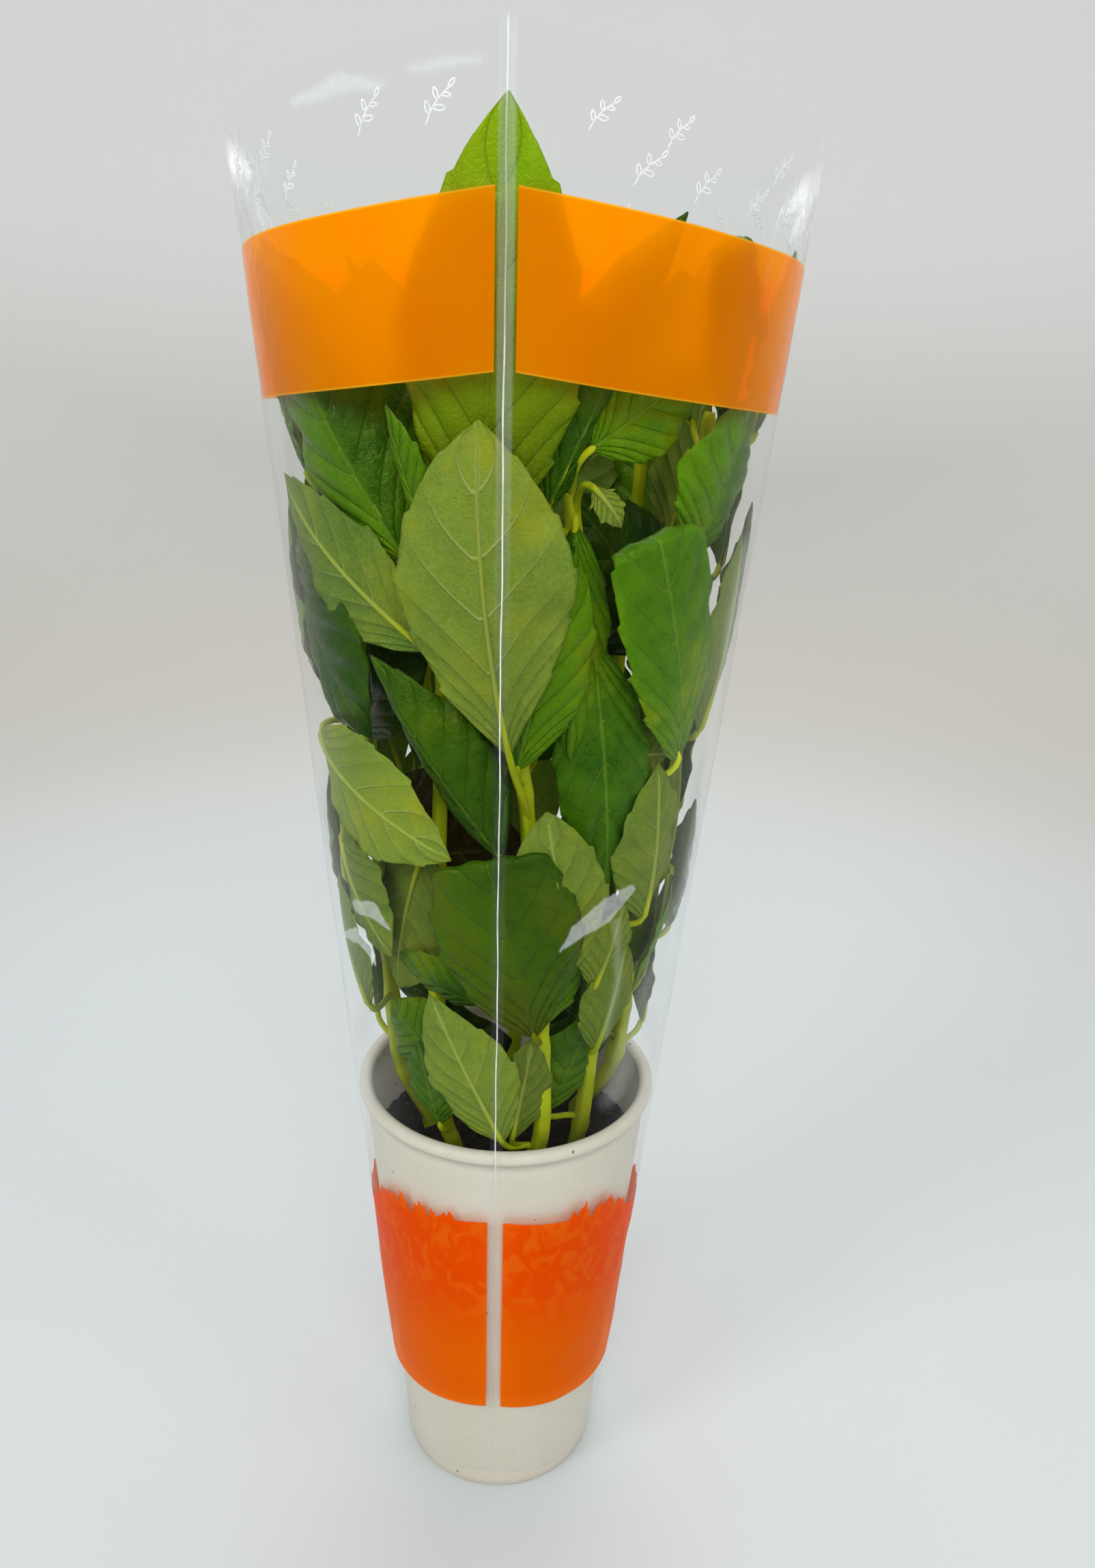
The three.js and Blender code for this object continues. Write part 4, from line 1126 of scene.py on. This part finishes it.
def add_weld(surface, at_back):
    """The welded fin along a seam: a thin web with a bead on its edge, slightly wavy."""
    slant = np.linspace(SLEEVE_LOW, SLEEVE_HIGH, WELD_ROWS)
    profile = [(-0.05, 0.0), (-0.05, 0.8), (-0.06, 1.5), (-0.17, 1.75), (-0.17, 2.02), (0.0, FIN_PROUD)]
    profile += [(-x, out) for x, out in reversed(profile[:-1])]
    aside, out = np.array(profile).T
    sway = 0.10 * np.sin(slant / 9.0) + 0.06 * np.sin(slant / 3.7 + 1)
    base = film_point(np.zeros_like(slant), slant, 0.0)
    across = sway[:, None] * (out / FIN_PROUD) + aside
    rings = triples(across, base[:, 1:2] - out, base[:, 2:3])
    if at_back:
        rings = rings * [-1, -1, 1]
    sheet = triples(0.0, slant[:, None], 0.0 * out)
    bead = triples(smooth_step((out - 1.4) / 0.4), 0.0 * slant[:, None], 0.0)
    surface.add(rings, tube_faces(len(slant), len(out)), WELD, sheet=sheet, face=bead)


STROKE = 0.14  # half-width of a printed line
INK_LIFTS = (0.02, 0.05)  # its underside and its top, above the film
SPRIG_TURN = math.radians(48)
SPRIG_ROWS = (709.5, 717.5, 725.5)
SPRIG_PITCH = 15.5
SPRIG_MISSING = 0.12  # share of the places left empty
SPRIG_BOW = 0.08
SPRIG_LEAF_HALF = 0.2
SPRIG_LEAF_TURN = 0.95
# The leaf outlines of a sprig: place along its stalk, side, and length as a share of the stalk's
SPRIG_LEAVES = [(0.25, 1, 0.30), (0.42, -1, 0.32), (0.62, 1, 0.28), (0.78, -1, 0.22), (1.0, 0, 0.24)]


def add_stroke(surface, middle, points):
    """A printed line of white ink through points (across, slant) of the flat panel. middle is the azimuth of
    the panel's middle."""
    along = np.gradient(points, axis=0)
    along /= np.linalg.norm(along, axis=1)[:, None]
    normal = np.stack([-along[:, 1], along[:, 0]], 1)
    ends = np.concatenate([points - normal * STROKE, points + normal * STROKE])
    azimuth = middle + np.arctan2(ends[:, 0], ends[:, 1]) / PANEL_HALF_ANGLE * math.pi / 2
    stray = film_wrinkle(azimuth, ends[:, 1])
    count = len(points)
    solid = [film_point(azimuth, ends[:, 1], stray + FILM_HALF + lift) for lift in INK_LIFTS]
    low = np.arange(count - 1)
    high = low + count
    shell = 2 * count
    faces = [
        np.stack([low, high, high + 1, low + 1], 1),
        np.stack([low + shell, low + 1 + shell, high + 1 + shell, high + shell], 1),
        np.stack([low, low + 1, low + 1 + shell, low + shell], 1),
        np.stack([high + 1, high, high + shell, high + 1 + shell], 1),
        np.array([[0, shell, shell + count, count]]),
        np.array([[count - 1, 2 * count - 1, shell + 2 * count - 1, shell + count - 1]]),
    ]
    surface.add(np.concatenate(solid), faces, INK)


def turned(points, angle):
    c, s = math.cos(angle), math.sin(angle)
    return points @ np.array([[c, s], [-s, c]])


def sprig(long):
    """Lines of a small sprig along +X: a curved stalk with leaf outlines on both sides."""
    t = np.linspace(0, 1, 14)
    lines = [np.stack([long * t, SPRIG_BOW * long * np.sin(math.pi * t)], 1)]
    u = np.linspace(0, 1, 9)
    for where, side, size in SPRIG_LEAVES:
        root = np.array([long * where, SPRIG_BOW * long * math.sin(math.pi * where)])
        reach = size * long
        for half in (SPRIG_LEAF_HALF, -SPRIG_LEAF_HALF):
            outline = np.stack([reach * u, half * reach * np.sin(math.pi * u) ** 0.8], 1)
            lines.append(root + turned(outline, SPRIG_LEAF_TURN * side))
    return lines


def add_sprigs(surface):
    """A loose pattern of small sprigs in white on the clear film above the upper band."""
    draw = drawer(401)
    for middle in (math.pi / 2, -math.pi / 2):
        for row, slant in enumerate(SPRIG_ROWS):
            half = slant * math.tan(PANEL_HALF_ANGLE) - 7
            for column in range(int(2 * half / SPRIG_PITCH)):
                if draw() < SPRIG_MISSING:
                    continue
                across = -half + SPRIG_PITCH * (column + row % 2 / 2) + 2 * draw()
                start = np.array([across, slant + 0.8 * draw()])
                turn = SPRIG_TURN + 0.3 * (draw() - 0.5)
                lines = [start + turned(line, turn) for line in sprig(6.6 + 1.2 * draw())]
                reach = np.concatenate(lines)
                if np.abs(reach[:, 0]).max() < half + 4 and reach[:, 1].max() < SLEEVE_HIGH - 1.0:
                    for line in lines:
                        add_stroke(surface, middle, line)


def sleeve():
    surface = Surface("sheet", "face")
    add_film(surface)
    add_weld(surface, False)
    add_weld(surface, True)
    add_sprigs(surface)
    piece = surface.finish("clear_sleeve", [film_material(), weld_material(), ink_material()])
    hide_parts("sleeve")
    return piece


# ---------- stage, light and camera ----------

COVE_SEGMENTS = 96


def studio():
    """A round cove: a pale floor that turns up into a wall all round, open above."""
    n = Nodes("cove")
    place = n.place()
    away = n.vector("LENGTH", place, out=1)
    near = n.blend(n.noise(place, 1.5, 2), (0.615, 0.655, 0.66, 1), (0.63, 0.667, 0.672, 1))
    colour = n.blend(n.step(away, 0.35, 1.0), near, (0.58, 0.565, 0.525, 1))
    height = n.add("SeparateXYZ", {0: place}, out=2)
    colour = n.blend(n.step(height, 0.0, 0.6), colour, (0.88, 0.885, 0.875, 1))
    material = n.finish(n.principled(Base_Color=colour, Roughness=0.9, Specular_IOR_Level=0.1))
    radius, bend, high = 1500.0, 700.0, 1500.0
    profile = [(0.0, 0.0)] + [(r, 0.0) for r in np.linspace(20, radius - bend, 12)]
    turn_up = np.radians(np.linspace(6, 90, 16))
    profile += [(radius - bend + bend * math.sin(a), bend - bend * math.cos(a)) for a in turn_up]
    surface = Surface()
    lathe(surface, [*profile, (radius, high)], COVE_SEGMENTS, closed=False)
    cove = surface.finish("cove", [material])


def area_light(name, at, target, size, power, colour=(1, 1, 1)):
    data = bpy.data.lights.new(name, "AREA")
    data.shape = "RECTANGLE"
    data.size, data.size_y = (edge * MM for edge in size)
    data.energy = power
    data.color = colour
    light = bpy.data.objects.new(name, data)
    light.location = Vector(at) * MM
    light.rotation_euler = (Vector(target) - Vector(at)).to_track_quat("-Z", "Y").to_euler()
    bpy.context.scene.collection.objects.link(light)


def lights():
    world = bpy.data.worlds.new("studio")
    bpy.context.scene.world = world
    world.use_nodes = True
    background = world.node_tree.nodes["Background"]
    background.inputs["Color"].default_value = (0.95, 0.97, 1.0, 1)
    background.inputs["Strength"].default_value = 0.26
    middle = (0, 0, 200)
    area_light("key", (-750, -700, 900), middle, (350, 450), 4.0, (0.97, 0.99, 1.0))
    area_light("fill", (850, -450, 650), middle, (500, 800), 1.5, (1.0, 0.98, 0.96))
    area_light("front", (60, -700, 750), middle, (500, 400), 3.6)
    area_light("wall", (0, 500, 1700), (0, 1500, 600), (1600, 300), 4.2)
    area_light("top", (100, 200, 1300), middle, (900, 900), 3.0)
    area_light("back", (0, 900, 800), middle, (1000, 500), 3.6)


def camera():
    data = bpy.data.cameras.new("camera")
    data.sensor_fit = "AUTO"
    data.sensor_width = SENSOR
    data.lens = SENSOR * FOCAL_PIXELS / IMAGE_LONG_SIDE
    data.clip_start = 0.01
    data.clip_end = 20
    made = bpy.data.objects.new("camera", data)
    pose = Matrix.Translation(Vector(CAMERA_AT) * MM)
    for angle, axis in ((-CAMERA_TURN, "Z"), (math.pi / 2 - CAMERA_DOWN, "X"), (CAMERA_ROLL, "Z")):
        pose = pose @ Matrix.Rotation(angle, 4, axis)
    made.matrix_world = pose
    bpy.context.scene.collection.objects.link(made)
    bpy.context.scene.camera = made


camera()
studio()
lights()
leaf_materials = [blade_material(False), blade_material(True), stem_material()]
pieces = [leafy_stem(name, leaf_materials) for name in STEMS]
pieces += [cup(), growing_medium(), sleeve()]
for piece in pieces:
    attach(piece, "root")

bpy.context.scene.view_settings.view_transform = "Standard"
